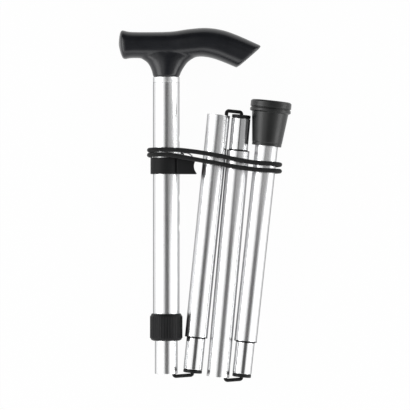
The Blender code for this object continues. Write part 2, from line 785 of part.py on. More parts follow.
def make_clip():
    """The clip: a band round the outer tube with a C jaw for a folded tube and a lug for the ring."""
    low = CLIP_TOP + CLIP_LENGTH
    band_r = OUTER_R + TOUCH + CLIP_WALL
    profile = pipe_profile(band_r, OUTER_R + TOUCH, CLIP_TOP, low)
    clip = lathe("tube_clip", profile, clip_turn, TUBE_AXIS, BLACK_PLASTIC)
    jaw = block(
        "jaw_form",
        (OUTER_R - CLIP_WALL, -JAW_SIDE, low - JAW_LENGTH),
        (JAW_REACH, JAW_SIDE, low),
        clip_turn,
        TUBE_AXIS,
    )
    cut(clip, jaw, "UNION")
    lug = block(
        "lug_form",
        (RING_X - 2 * LUG_HOLE_R, -JAW_SIDE - LUG_DROP, LUG_TOP),
        (RING_X + 2 * LUG_HOLE_R, -JAW_SIDE + 2 * JAW_WALL, LUG_TOP + LUG_LENGTH),
        clip_turn,
        TUBE_AXIS,
    )
    cut(clip, lug, "UNION")
    far = CLIP_LENGTH
    tube_way = rod(
        "band_bore", OUTER_R + TOUCH, CLIP_TOP - far, low + far, clip_turn, TUBE_AXIS, SIDES
    )
    cut(clip, tube_way)
    jaw_axis = TUBE_AXIS @ Matrix.Translation((JAW_CENTRE, 0.0, 0.0))
    groove = rod("jaw_bore", JAW_BORE, CLIP_TOP - far, low + far, clip_turn, jaw_axis, SIDES)
    cut(clip, groove)
    notch_axis = TUBE_AXIS @ Matrix.Translation(
        (JAW_REACH - JAW_NOTCH + JAW_NOTCH_R, 0.0, low - JAW_LENGTH / 2)
    )
    notch_axis = notch_axis @ Matrix.Rotation(math.pi / 2, 4, "X")
    notch = rod("jaw_notch", JAW_NOTCH_R, -far, far, clip_turn, notch_axis, SIDES)
    cut(clip, notch)
    hole_axis = TUBE_AXIS @ Matrix.Translation((RING_X, -RING_LEVEL, 0.0))
    hole = rod("lug_hole", LUG_HOLE_R, CLIP_TOP, low, clip_turn, hole_axis, 12)
    cut(clip, hole)


def ring_frame():
    """The split ring's frame: its centre, tilted about the lug so that its far side lies low."""
    depth = LUG_TOP + LUG_LENGTH / 2
    hung = Matrix.Translation((RING_X, -depth, -RING_LEVEL)) @ Matrix.Rotation(RING_TILT, 4, "Y")
    return hung @ Matrix.Translation((RING_R, 0.0, 0.0))


def make_ring():
    """The split ring, threaded through the clip's lug, as a round wire closed on itself."""
    centre = ring_frame()
    hinge = Matrix.Translation((RING_X, centre.translation.y, -RING_LEVEL))
    ring_swing = carrier("ring_swing_axis", hinge, clip_turn)
    mesh = bpy.data.meshes.new("split_ring")
    shape = bmesh.new()
    rows = []
    for i in range(RING_STEPS):
        around = math.tau * i / RING_STEPS
        row = []
        for k in range(RING_SIDES):
            turn = math.tau * k / RING_SIDES
            reach = RING_R + RING_WIRE_R * math.cos(turn)
            spot = (
                reach * math.cos(around),
                reach * math.sin(around),
                RING_WIRE_R * math.sin(turn),
            )
            row.append(shape.verts.new(spot))
        rows.append(row)
    for i, row in enumerate(rows):
        following = rows[(i + 1) % RING_STEPS]
        for k in range(RING_SIDES):
            j = (k + 1) % RING_SIDES
            shape.faces.new((row[k], following[k], following[j], row[j]))
    bmesh.ops.recalc_face_normals(shape, faces=shape.faces)
    shape.to_mesh(mesh)
    shape.free()
    mesh.shade_smooth()
    add("split_ring", mesh, ring_swing, centre, STEEL)


# The lanyard's routes, from the split ring behind the tube, round its left side and over the front.
LOOP_ROUTE = (
    (0.0095, -0.0617, -0.0130),
    (0.0108, -0.0623, -0.0129),
    (0.0122, -0.0632, -0.0129),
    (0.0134, -0.0642, -0.0129),
    (0.0142, -0.0651, -0.0133),
    (0.0145, -0.0655, -0.0146),
    (0.0142, -0.0651, -0.0156),
    (0.0134, -0.0642, -0.0161),
    (0.0122, -0.0632, -0.0160),
    (0.0108, -0.0623, -0.0157),
    (0.0095, -0.0617, -0.0154),
)
SLEEVE_ROUTE = (
    (0.0087, -0.0608, -0.0142),
    (0.0087, -0.0585, -0.0142),
    (0.0087, -0.0560, -0.0142),
    (0.0087, -0.0536, -0.0142),
)
CONNECTOR_ROUTE = (
    (0.0087, -0.0531, -0.0142),
    (0.0087, -0.0490, -0.0142),
    (0.0086, -0.0450, -0.0142),
)
LONG_SLEEVE_ROUTE = (
    (0.0086, -0.0444, -0.0142),
    (0.0082, -0.0418, -0.0142),
    (0.0065, -0.0390, -0.0142),
    (0.0035, -0.0374, -0.0142),
    (0.0000, -0.0374, -0.0142),
    (-0.0032, -0.0390, -0.0142),
    (-0.0056, -0.0420, -0.0142),
    (-0.0072, -0.0460, -0.0142),
    (-0.0081, -0.0510, -0.0142),
    (-0.0086, -0.0560, -0.0142),
    (-0.0093, -0.0600, -0.0138),
    (-0.0107, -0.0628, -0.0119),
    (-0.0122, -0.0641, -0.0088),
)
UPPER_STRAND = (
    (-0.0128, -0.0620, -0.0075),
    (-0.0141, -0.0618, -0.0030),
    (-0.0141, -0.0617, 0.0025),
    (-0.0124, -0.0616, 0.0070),
    (-0.0087, -0.0615, 0.0112),
    (-0.0040, -0.0614, 0.0138),
    (0.0030, -0.0615, 0.0145),
    (0.0120, -0.0619, 0.0144),
    (0.0220, -0.0630, 0.0143),
    (0.0280, -0.0638, 0.0138),
    (0.0330, -0.0646, 0.0129),
    (0.0400, -0.0658, 0.0122),
    (0.0470, -0.0671, 0.0119),
    (0.0590, -0.0697, 0.0119),
    (0.0720, -0.0720, 0.0120),
    (0.0830, -0.0729, 0.0120),
    (0.0904, -0.0734, 0.0099),
    (0.0947, -0.0738, 0.0047),
    (0.0956, -0.0740, -0.0012),
    (0.0929, -0.0742, -0.0084),
    (0.0870, -0.0744, -0.0120),
    (0.0820, -0.0746, -0.0124),
    (0.0788, -0.0747, -0.0124),
    (0.0769, -0.0754, -0.0124),
    (0.0761, -0.0771, -0.0124),
)
LOWER_STRAND = (
    (0.0769, -0.0788, -0.0124),
    (0.0788, -0.0795, -0.0124),
    (0.0820, -0.0796, -0.0124),
    (0.0870, -0.0797, -0.0120),
    (0.0927, -0.0796, -0.0084),
    (0.0954, -0.0795, -0.0012),
    (0.0945, -0.0793, 0.0047),
    (0.0901, -0.0791, 0.0099),
    (0.0830, -0.0788, 0.0120),
    (0.0720, -0.0778, 0.0120),
    (0.0590, -0.0760, 0.0119),
    (0.0470, -0.0738, 0.0119),
    (0.0400, -0.0724, 0.0122),
    (0.0330, -0.0712, 0.0131),
    (0.0280, -0.0703, 0.0141),
    (0.0220, -0.0692, 0.0146),
    (0.0120, -0.0673, 0.0149),
    (0.0060, -0.0663, 0.0150),
    (0.0000, -0.0657, 0.0146),
    (-0.0050, -0.0656, 0.0135),
    (-0.0090, -0.0656, 0.0110),
    (-0.0125, -0.0657, 0.0068),
    (-0.0142, -0.0658, 0.0020),
    (-0.0141, -0.0660, -0.0032),
    (-0.0128, -0.0662, -0.0075),
)


def make_lanyard():
    """The wrist lanyard: small loop, short sleeve, connector, long sleeve and the wrist loop."""
    here = Matrix()
    strand("lanyard_loop", LOOP_ROUTE, LOOP_R, clip_turn, here, BLACK_CORD, 3 * LOOP_R)
    strand(
        "short_sleeve",
        SLEEVE_ROUTE,
        SLEEVE_R,
        clip_turn,
        here,
        BLACK_RUBBER,
        SLEEVE_R,
        last_radius=CONNECTOR_R,
    )
    strand("lanyard_connector", CONNECTOR_ROUTE, CONNECTOR_R, clip_turn, here, STEEL)
    strand("long_sleeve", LONG_SLEEVE_ROUTE, SLEEVE_R, clip_turn, here, BLACK_RUBBER, SLEEVE_R)
    route = UPPER_STRAND + LOWER_STRAND
    strand("wrist_loop", route, STRAND_R, clip_turn, here, BLACK_CORD, 1.3 * STRAND_R)


def lay_down():
    """Moves the whole pole so that its bounding box stands centred on the origin."""
    bpy.context.view_layer.update()
    graph = bpy.context.evaluated_depsgraph_get()
    low = Vector((math.inf,) * 3)
    high = Vector((-math.inf,) * 3)
    for obj in pole.objects:
        if obj.type not in ("MESH", "CURVE"):
            continue
        evaluated = obj.evaluated_get(graph)
        mesh = evaluated.to_mesh()
        for vertex in mesh.vertices:
            spot = evaluated.matrix_world @ vertex.co
            low = Vector(map(min, low, spot))
            high = Vector(map(max, high, spot))
        evaluated.to_mesh_clear()
    root.location = (-(low.x + high.x) / 2, -(low.y + high.y) / 2, -low.z)
    bpy.context.view_layer.update()
    size = high - low
    print("size in mm:", *(f"{1000 * value:.2f}" for value in size))
    print("handle foot at:", *(f"{value:.6f}" for value in root.location))
    for name, fold in (("fold_1", fold_1), ("fold_2", fold_2), ("fold_3", fold_3)):
        pivot = fold.pivot + root.location
        print(f"{name}: pivot", *(f"{value:.6f}" for value in pivot), end="  ")
        print(f"turn {math.degrees(-fold.turn):.3f} deg, travel {fold.travel:.6f},", end=" ")
        print("seats along", *(f"{value:.6f}" for value in -heading(fold.parent_angle)))
    sole = fold_3.end + SECTION_4_LENGTH * heading(fold_3.angle) + root.location
    print("sole centre:", *(f"{value:.6f}" for value in sole))
    print("sole faces:", *(f"{value:.6f}" for value in heading(fold_3.angle)))
    hinge = Vector((RING_X, -LUG_TOP - LUG_LENGTH / 2, -RING_LEVEL)) + root.location
    print("ring hinge:", *(f"{value:.6f}" for value in hinge))


make_handle()
make_outer_tube()
make_collar()
make_lower_tube()
make_button()
cord_run(1, lower_section, TUBE_AXIS, ANCHOR_DEPTH + TOUCH, LOWER_END, TUBE_BORE - CORD_R - FIT)
cord_bend(1, fold_1, elbow_1)
make_section(2, fold_1, section_2, SECTION_2_LENGTH, -1, SECTION_2_LENGTH)
cord_bend(2, fold_2, elbow_2)
make_section(3, fold_2, section_3, SECTION_3_LENGTH, 1, SECTION_3_LENGTH)
cord_bend(3, fold_3, elbow_3)
LAST_TUBE_END = SECTION_4_LENGTH - TIP_SOLE - WASHER - 2 * TOUCH
make_section(4, fold_3, section_4, SECTION_4_LENGTH, 0, LAST_TUBE_END)
make_tip(SECTION_4_LENGTH)
make_clip()
make_ring()
make_lanyard()
lay_down()
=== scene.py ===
"""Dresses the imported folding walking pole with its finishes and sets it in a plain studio.

Everything is in metres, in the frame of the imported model: +Y towards the handle, +X towards the
folded sections and +Z up from the surface that the pole lies on.
"""

from __future__ import annotations

import json
import logging
import math
from dataclasses import dataclass, replace
from enum import Enum
from typing import Callable, Iterable, Sequence

import bmesh
import bpy
from mathutils import Matrix, Vector

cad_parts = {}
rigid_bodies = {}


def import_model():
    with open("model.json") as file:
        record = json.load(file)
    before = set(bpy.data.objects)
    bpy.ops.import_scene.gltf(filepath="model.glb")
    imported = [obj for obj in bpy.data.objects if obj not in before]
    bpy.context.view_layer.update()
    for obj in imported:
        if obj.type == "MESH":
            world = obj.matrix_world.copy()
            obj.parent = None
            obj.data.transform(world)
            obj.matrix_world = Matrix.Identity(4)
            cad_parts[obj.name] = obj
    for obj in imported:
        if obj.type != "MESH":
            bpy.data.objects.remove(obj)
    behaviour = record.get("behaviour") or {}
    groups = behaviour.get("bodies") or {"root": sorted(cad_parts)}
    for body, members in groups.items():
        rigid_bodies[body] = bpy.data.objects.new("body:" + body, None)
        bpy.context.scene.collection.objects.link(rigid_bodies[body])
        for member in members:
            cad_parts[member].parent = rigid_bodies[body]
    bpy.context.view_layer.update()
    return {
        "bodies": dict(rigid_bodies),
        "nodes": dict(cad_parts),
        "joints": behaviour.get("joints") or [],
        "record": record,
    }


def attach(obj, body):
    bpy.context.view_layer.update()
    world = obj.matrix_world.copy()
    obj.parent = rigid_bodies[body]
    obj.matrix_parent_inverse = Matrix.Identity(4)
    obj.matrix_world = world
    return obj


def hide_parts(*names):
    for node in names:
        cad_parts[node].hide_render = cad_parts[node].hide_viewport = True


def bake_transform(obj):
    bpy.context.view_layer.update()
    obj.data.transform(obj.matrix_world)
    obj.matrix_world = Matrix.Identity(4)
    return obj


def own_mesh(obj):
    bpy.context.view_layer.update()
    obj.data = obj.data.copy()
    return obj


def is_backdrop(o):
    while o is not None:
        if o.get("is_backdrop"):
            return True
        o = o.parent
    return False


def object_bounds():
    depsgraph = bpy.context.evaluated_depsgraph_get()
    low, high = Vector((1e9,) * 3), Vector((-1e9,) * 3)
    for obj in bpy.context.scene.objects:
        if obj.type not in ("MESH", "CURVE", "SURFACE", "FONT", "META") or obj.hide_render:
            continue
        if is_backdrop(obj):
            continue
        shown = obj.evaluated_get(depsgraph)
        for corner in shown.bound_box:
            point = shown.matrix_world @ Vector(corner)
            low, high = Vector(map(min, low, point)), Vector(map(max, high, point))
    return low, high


LOG = logging.getLogger("walking_pole")

Point = tuple[float, float, float]
Outline = list[tuple[float, float]]
Section = Callable[[float, float], Outline]  # from the distance to a route's start and to its end

FOOT = Vector((-0.032623, 0.107874, 0.0172))  # the handle tube's axis at the handle's lower edge
UP = math.radians(90.0)
CREASE = 38.0  # angle in degrees past which an edge of a piece stays sharp
TINY = 1e-7  # lengths below this count as nothing
BLUNT = math.radians(80.0)  # half of a corner too blunt to need rounding


@dataclass(frozen=True)
class Clearance:
    """The gaps that the pole's moving pieces keep."""

    fit: float = 0.0004
    touch: float = 0.0003


@dataclass(frozen=True)
class TubeSizes:
    """Radii, walls and lengths of the pole's tubes and spigots."""

    outer_r: float = 0.0111
    tube_r: float = 0.0095
    wall: float = 0.0012
    outer_length: float = 0.2170
    lower_top: float = 0.0380
    lower_end: float = 0.2497
    spigot_out: float = 0.0300
    spigot_in: float = 0.0250
    spigot_wall: float = 0.0010
    plug_rim: float = 0.0028
    plug_depth: float = 0.0080
    plug_hole_r: float = 0.0021
    edge: float = 0.00025

    @property
    def outer_bore(self) -> float:
        """Bore of the tube under the handle."""
        return self.outer_r - self.wall

    @property
    def tube_bore(self) -> float:
        """Bore of the other tubes."""
        return self.tube_r - self.wall

    @property
    def spigot_r(self) -> float:
        """Radius of a spigot, which slides in a tube's bore."""
        return self.tube_bore - GAPS.fit


GAPS = Clearance()
TUBES = TubeSizes()


class Body(Enum):
    """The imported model's moving bodies."""

    HANDLE = "handle_section"
    COLLAR = "collar"
    LOWER = "lower_section"
    BUTTON = "button"
    ELBOW_1 = "elbow_1"
    SECTION_2 = "section_2"
    ELBOW_2 = "elbow_2"
    SECTION_3 = "section_3"
    ELBOW_3 = "elbow_3"
    SECTION_4 = "section_4"
    CLIP = "clip"
    RING = "ring"


class Slot(Enum):
    """The record's material slots."""

    ALUMINIUM = "polished_aluminium"
    STEEL = "bright_steel"
    PLASTIC = "black_plastic"
    RUBBER = "black_rubber"
    CORD = "black_cord"


def along(x: float, y: float, angle: float) -> Matrix:
    """Makes a frame whose Z runs along a heading in the folding plane and whose Y points up.

    Args:
        x: Place across the pole, from the handle tube's axis.
        y: Place along the pole, from the handle's lower edge.
        angle: Heading of the frame's Z, in radians from +X.

    Returns:
        The frame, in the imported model's coordinates.
    """
    direction = heading(angle)
    up = Vector((0.0, 0.0, 1.0))
    frame = Matrix((up.cross(direction), up, direction)).transposed().to_4x4()
    frame.translation = Vector((x, y, 0.0)) + FOOT
    return frame


def heading(angle: float) -> Vector:
    """Returns a unit vector in the folding plane."""
    return Vector((math.cos(angle), math.sin(angle), 0.0))


@dataclass(frozen=True)
class Fold:
    """Where one folded section lies beside the section that carries it."""

    mouth: Vector  # the carrying section's far end, on its axis
    parent_angle: float
    angle: float
    radius: float  # from the fold's centre to the two axes that it joins
    out: float  # how far the fold's centre lies beyond the mouth
    back: float  # how far the folded section's plug lies behind the fold's centre

    @property
    def side(self) -> Vector:
        """Direction from the carrying section towards the folded one."""
        toward = heading(self.parent_angle)
        return Vector((abs(toward.y), -toward.x * math.copysign(1.0, toward.y), 0.0))

    @property
    def end(self) -> Vector:
        """The folded section's plug end, on its axis."""
        toward = heading(self.parent_angle)
        pivot = self.mouth + self.out * toward + self.radius * self.side
        straight = self.mouth + (self.out + self.back) * toward
        turn = math.remainder(self.angle - self.parent_angle, math.tau)
        return pivot + Matrix.Rotation(turn, 3, "Z") @ (straight - pivot)

    def mouth_of(self, length: float) -> Vector:
        """Returns the folded section's far end, on its axis."""
        return self.end + length * heading(self.angle)

    def frame(self) -> Matrix:
        """Returns the folded section's frame, with Z from its plug end to its far end."""
        return along(self.end.x, self.end.y, self.angle)


SECTION_2_LENGTH = 0.2181
SECTION_3_LENGTH = 0.2212
SECTION_4_LENGTH = 0.2335
LEAN_2 = math.radians(5.82)  # how far each folded section leans from the handle tube
LEAN_3 = math.radians(5.15)
LEAN_4 = math.radians(6.19)
FOLD_1 = Fold(
    Vector((0.0, -TUBES.lower_end, 0.0)),
    -UP,
    UP - LEAN_2,
    radius=0.01095,
    out=0.0006,
    back=0.0024,
)
FOLD_2 = Fold(
    FOLD_1.mouth_of(SECTION_2_LENGTH),
    FOLD_1.angle,
    -UP - LEAN_3,
    radius=0.0095,
    out=0.0024,
    back=0.0006,
)
FOLD_3 = Fold(
    FOLD_2.mouth_of(SECTION_3_LENGTH),
    FOLD_2.angle,
    UP - LEAN_4,
    radius=0.0099,
    out=0.0006,
    back=0.0024,
)
TUBE_AXIS = along(0.0, 0.0, -UP)  # Z is the depth below the handle
TOP_HOLE = 0.0520  # depth of the top height hole, and of the button under it
BUTTON_R = 0.0028
CORD_ANCHOR = 0.0800  # depth of the elastic cord's upper anchor
SOLE = 0.0070  # thickness of the rubber under the last tube
WASHER = 0.0016  # thickness of the washer that the last tube rests on
LAST_TUBE_END = SECTION_4_LENGTH - SOLE - WASHER - 2 * GAPS.touch


# Materials


class ShaderTree:
    """A shader's nodes, with short ways to add to them."""

    def __init__(self, tree: bpy.types.NodeTree) -> None:
        """Takes a tree as it stands."""
        self.tree = tree

    @classmethod
    def emptied(cls, owner: bpy.types.Material | bpy.types.World) -> ShaderTree:
        """Returns the tree of a material or a world, with nothing in it."""
        owner.use_nodes = True
        owner.node_tree.nodes.clear()
        return cls(owner.node_tree)

    def node(self, kind: str, values: dict | None = None, **settings: object) -> bpy.types.Node:
        """Adds a node.

        Args:
            kind: Blender's type name of the node.
            values: Socket values, by name or index.
            settings: The node's own properties.

        Returns:
            The new node.
        """
        made = self.tree.nodes.new(kind)
        for setting, value in settings.items():
            setattr(made, setting, value)
        for socket, value in (values or {}).items():
            made.inputs[socket].default_value = value
        return made

    def link(self, source: bpy.types.NodeSocket, target: bpy.types.NodeSocket) -> None:
        """Joins two sockets."""
        self.tree.links.new(source, target)

    def give(self, source: object, target: bpy.types.NodeSocket) -> None:
        """Joins a socket to another, or gives it a plain value."""
        if isinstance(source, bpy.types.NodeSocket):
            self.link(source, target)
        else:
            target.default_value = source

    def math(self, operation: str, *operands: object) -> bpy.types.NodeSocket:
        """Adds a Math node whose operands are sockets or numbers, and returns its result."""
        made = self.node("ShaderNodeMath", operation=operation)
        for socket, operand in zip(made.inputs, operands):
            self.give(operand, socket)
        return made.outputs[0]

    def span(
        self,
        value: object,
        low: object,
        high: float,
        start: float = 0.25,
        end: float = 0.75,
        shape: str = "LINEAR",
    ) -> bpy.types.NodeSocket:
        """Maps a value between two ends onto a range.

        Args:
            value: The value, as a socket.
            low: What the start becomes, a number or a socket.
            high: What the end becomes.
            start: Where the value's span starts.
            end: Where it ends.
            shape: How it goes from one to the other.

        Returns:
            The mapped value.
        """
        made = self.node(
            "ShaderNodeMapRange",
            {"From Min": start, "From Max": end, "To Max": high},
            interpolation_type=shape,
        )
        self.give(value, made.inputs["Value"])
        self.give(low, made.inputs["To Min"])
        return made.outputs["Result"]


class Recipe(ShaderTree):
    """A Principled material and the nodes that feed it."""

    def __init__(self, name: str) -> None:
        """Starts the material from its plain Principled shader."""
        self.material = bpy.data.materials.new(name)
        self.material.use_nodes = True
        super().__init__(self.material.node_tree)
        self.shader = self.tree.nodes["Principled BSDF"]

    def settle(self, values: dict[str, object]) -> None:
        """Sets the shader's own sockets, by name."""
        for socket, value in values.items():
            self.shader.inputs[socket].default_value = value

    def feed(self, source: bpy.types.NodeSocket, socket: str) -> None:
        """Joins a socket to one of the shader's, by name."""
        self.link(source, self.shader.inputs[socket])

    def place(self, scale: Point, turn: float = 0.0) -> bpy.types.NodeSocket:
        """Returns Object coordinates, turned about Z and then scaled."""
        coordinates = self.node("ShaderNodeTexCoord")
        turned_round = self.node("ShaderNodeMapping", {"Rotation": (0.0, 0.0, turn)})
        stretched = self.node("ShaderNodeMapping", {"Scale": scale})
        self.link(coordinates.outputs["Object"], turned_round.inputs["Vector"])
        self.link(turned_round.outputs["Vector"], stretched.inputs["Vector"])
        return stretched.outputs["Vector"]

    def noise(
        self, vector: bpy.types.NodeSocket, detail: float, roughness: float = 0.5
    ) -> bpy.types.NodeSocket:
        """Adds a noise on a vector, and returns its value."""
        made = self.node(
            "ShaderNodeTexNoise", {"Scale": 1.0, "Detail": detail, "Roughness": roughness}
        )
        self.link(vector, made.inputs["Vector"])
        return made.outputs["Fac"]

    def blend(self, share: object, low: object, high: object) -> bpy.types.NodeSocket:
        """Mixes two colours, plain or from sockets, by a share, and returns the colour."""
        made = self.node("ShaderNodeMix", data_type="RGBA")
        colours = [socket for socket in made.inputs if socket.type == "RGBA"]
        for socket, colour in zip(colours, (low, high)):
            plain = not isinstance(colour, bpy.types.NodeSocket)
            self.give((*colour, 1.0) if plain else colour, socket)
        self.link(share, made.inputs[0])
        return next(socket for socket in made.outputs if socket.type == "RGBA")

    def emboss(self, height: object, strength: float, distance: float) -> None:
        """Feeds a height to the shader as a bump."""
        bump = self.node("ShaderNodeBump", {"Strength": strength, "Distance": distance})
        self.link(height, bump.inputs["Height"])
        self.feed(bump.outputs["Normal"], "Normal")


@dataclass(frozen=True)
class Finish:
    """What every finish has: the record's slot that it answers to."""

    slot: Slot

    def material(self, name: str) -> bpy.types.Material:
        """Makes this finish's material for one piece."""
        raise NotImplementedError


@dataclass(frozen=True)
class DrawnAluminium(Finish):
    """Polished aluminium tube, with the faint lines that drawing leaves along it.

    Places along the tube are measured along its heading, from the origin. The dark bands at its
    seams are painted shade, standing in for the shadow in the gap at a shoulder.
    """

    slot: Slot = Slot.ALUMINIUM
    heading: float = -UP
    roughness: tuple[float, float] = (0.24, 0.31)
    dull: Point = (0.89, 0.895, 0.90)
    bright: Point = (0.94, 0.945, 0.95)
    rim: Point = (0.02, 0.02, 0.025)
    line_scale: Point = (1100.0, 6.0, 1100.0)
    cloud_scale: Point = (90.0, 14.0, 90.0)
    line_share: float = 0.6
    line_strength: float = 0.05
    line_depth: float = 0.000002
    band: tuple[float, float] | None = None
    band_roughness: float = 0.10
    # Places of painted shade bands: the shadow in the gap where a spigot leaves the tube
    shaded_seams: tuple[float, ...] = ()
    shaded_seam_half: float = 0.0008
    seam_shade_colour: Point = (0.05, 0.05, 0.052)

    def material(self, name: str) -> bpy.types.Material:
        """Makes the metal, its lines turned to the tube's heading."""
        recipe = Recipe(name)
        recipe.settle({"Metallic": 1.0, "Specular Tint": (*self.rim, 1.0)})
        turn = UP - self.heading
        lines = recipe.noise(recipe.place(self.line_scale, turn), 2.0)
        clouds = recipe.noise(recipe.place(self.cloud_scale, turn), 4.0)
        rest = recipe.math("MULTIPLY", clouds, 1.0 - self.line_share)
        mixed = recipe.math("MULTIPLY_ADD", lines, self.line_share, rest)
        roughness = recipe.span(mixed, *self.roughness, 0.3, 0.7)
        colour = recipe.blend(recipe.span(clouds, 0.0, 1.0), self.dull, self.bright)
        split = recipe.node("ShaderNodeSeparateXYZ")
        recipe.link(recipe.place((1.0, 1.0, 1.0), turn), split.inputs["Vector"])
        if self.band:
            middle, half = sum(self.band) / 2, (self.band[1] - self.band[0]) / 2
            inside = recipe.math("COMPARE", split.outputs["Y"], middle, half)
            roughness = recipe.math("MULTIPLY_ADD", inside, self.band_roughness, roughness)
        # Painted shade: a dark band across the tube at each shoulder's gap
        for shaded_seam in self.shaded_seams:
            inside = recipe.math("COMPARE", split.outputs["Y"], shaded_seam, self.shaded_seam_half)
            colour = recipe.blend(inside, colour, self.seam_shade_colour)
        recipe.feed(roughness, "Roughness")
        recipe.feed(colour, "Base Color")
        recipe.emboss(lines, self.line_strength, self.line_depth)
        return recipe.material


@dataclass(frozen=True)
class BrightSteel(Finish):
    """Nickel-plated steel with fine handling marks."""

    slot: Slot = Slot.STEEL
    roughness: tuple[float, float] = (0.16, 0.30)
    low: Point = (0.60, 0.60, 0.62)
    high: Point = (0.76, 0.76, 0.78)
    rim: Point = (0.62, 0.62, 0.64)
    mark_scale: Point = (1500.0, 400.0, 1500.0)
    mark_turn: float = 0.6
    mark_depth: float = 0.000006

    def material(self, name: str) -> bpy.types.Material:
        """Makes the metal."""
        recipe = Recipe(name)
        recipe.settle({"Metallic": 1.0, "Specular Tint": (*self.rim, 1.0)})
        marks = recipe.noise(recipe.place(self.mark_scale, self.mark_turn), 5.0, 0.62)
        recipe.feed(recipe.span(marks, *self.roughness), "Roughness")
        recipe.feed(recipe.blend(recipe.span(marks, 0.0, 1.0), self.low, self.high), "Base Color")
        recipe.emboss(marks, 0.15, self.mark_depth)
        return recipe.material


@dataclass(frozen=True)
class MouldedPlastic(Finish):
    """Moulded black plastic with a spark-eroded grain and faint flow clouds."""

    slot: Slot = Slot.PLASTIC
    roughness: tuple[float, float] = (0.40, 0.52)
    low: Point = (0.0050, 0.0052, 0.0056)
    high: Point = (0.0095, 0.0098, 0.0106)
    grain: float = 2600.0
    grain_depth: float = 0.000018
    cloud_scale: float = 70.0
    gloss: float = 0.20

    def material(self, name: str) -> bpy.types.Material:
        """Makes the plastic."""
        recipe = Recipe(name)
        recipe.settle({"Specular IOR Level": self.gloss})
        clouds = recipe.noise(recipe.place((self.cloud_scale,) * 3), 5.0, 0.6)
        grain = recipe.noise(recipe.place((self.grain,) * 3), 2.0)
        recipe.feed(recipe.blend(recipe.span(clouds, 0.0, 1.0), self.low, self.high), "Base Color")
        uneven = recipe.math("MULTIPLY_ADD", grain, 0.5, recipe.math("MULTIPLY", clouds, 0.5))
        recipe.feed(recipe.span(uneven, *self.roughness, 0.3, 0.7), "Roughness")
        recipe.emboss(grain, 0.35, self.grain_depth)
        return recipe.material


@dataclass(frozen=True)
class SoftGrip(MouldedPlastic):
    """The grip's satin plastic, a little blue, with broad soft highlights."""

    roughness: tuple[float, float] = (0.26, 0.34)
    low: Point = (0.0040, 0.0045, 0.0064)
    high: Point = (0.0074, 0.0081, 0.0108)
    grain: float = 1700.0
    grain_depth: float = 0.000012
    gloss: float = 0.5


@dataclass(frozen=True)
class TreadRubber(MouldedPlastic):
    """Charcoal rubber with a dusty bloom."""

    slot: Slot = Slot.RUBBER
    roughness: tuple[float, float] = (0.29, 0.40)
    low: Point = (0.0055, 0.0060, 0.0060)
    high: Point = (0.0110, 0.0117, 0.0115)
    grain: float = 1300.0
    grain_depth: float = 0.000025
    gloss: float = 0.5


@dataclass(frozen=True)
class BraidedCord(Finish):
    """Black cord braided from yarns that pass over and under one another."""

    slot: Slot = Slot.CORD
    yarns: int = 8
    pitch: float = 1.5
    low: Point = (0.0035, 0.0036, 0.0038)
    high: Point = (0.0130, 0.0133, 0.0138)
    roughness: tuple[float, float] = (0.72, 0.92)
    fibre_scale: float = 5200.0
    yarn_depth: float = 0.00022

    def material(self, name: str) -> bpy.types.Material:
        """Makes the braid on the piece's UV map, whose V counts diameters along the cord."""
        recipe = Recipe(name)
        recipe.settle({"Sheen Weight": 0.10, "Sheen Roughness": 0.45, "Specular IOR Level": 0.25})
        spots = recipe.node("ShaderNodeTexCoord")
        split = recipe.node("ShaderNodeSeparateXYZ")
        recipe.link(spots.outputs["UV"], split.inputs["Vector"])
        across = recipe.math("MULTIPLY", split.outputs["X"], float(self.yarns))
        onward = recipe.math("MULTIPLY", split.outputs["Y"], self.pitch)
        left = recipe.math("ADD", across, onward)
        right = recipe.math("SUBTRACT", across, onward)
        cell = recipe.math("ADD", recipe.math("FLOOR", left), recipe.math("FLOOR", right))
        over = recipe.math("FLOORED_MODULO", cell, 2.0)
        humps = [
            recipe.math("SINE", recipe.math("MULTIPLY", recipe.math("FRACT", way), math.pi))
            for way in (left, right)
        ]
        kept = recipe.math("MULTIPLY", humps[0], over)
        other = recipe.math("MULTIPLY", humps[1], recipe.math("SUBTRACT", 1.0, over))
        height = recipe.math("ADD", kept, other)
        fibres = recipe.noise(recipe.place((self.fibre_scale,) * 3), 2.0)
        # Painted shade: the colour darkens from each yarn's crown into the gaps between yarns, over
        # a random fibre tone
        shade = recipe.math("MULTIPLY", height, recipe.span(fibres, 0.55, 1.0))
        recipe.feed(recipe.blend(shade, self.low, self.high), "Base Color")
        recipe.feed(recipe.span(fibres, *self.roughness), "Roughness")
        recipe.emboss(height, 0.8, self.yarn_depth)
        return recipe.material


@dataclass(frozen=True)
class StudioFloor:
    """A white floor that looks white on film, and still takes the pole's faint shadow."""

    glow: float = 0.97
    paint: float = 0.72
    strength: float = 1.0

    def material(self, name: str) -> bpy.types.Material:
        """Makes the floor: mostly its own white where it is looked at, the rest plain paint."""
        made = bpy.data.materials.new(name)
        tree = ShaderTree.emptied(made)
        paint = tree.node("ShaderNodeBsdfDiffuse", {"Color": (*(self.paint,) * 3, 1.0)})
        light = tree.node("ShaderNodeEmission", {"Strength": self.strength})
        path = tree.node("ShaderNodeLightPath")
        looked: object = 0.0
        for ray in ("Is Camera Ray", "Is Transmission Ray", "Is Glossy Ray"):
            looked = tree.math("MULTIPLY_ADD", path.outputs[ray], self.glow, looked)
        mix = tree.node("ShaderNodeMixShader")
        for socket, source in zip(mix.inputs, (looked, paint.outputs[0], light.outputs[0])):
            tree.link(source, socket)
        out = tree.node("ShaderNodeOutputMaterial")
        tree.link(mix.outputs[0], out.inputs["Surface"])
        return made


# Mesh tools


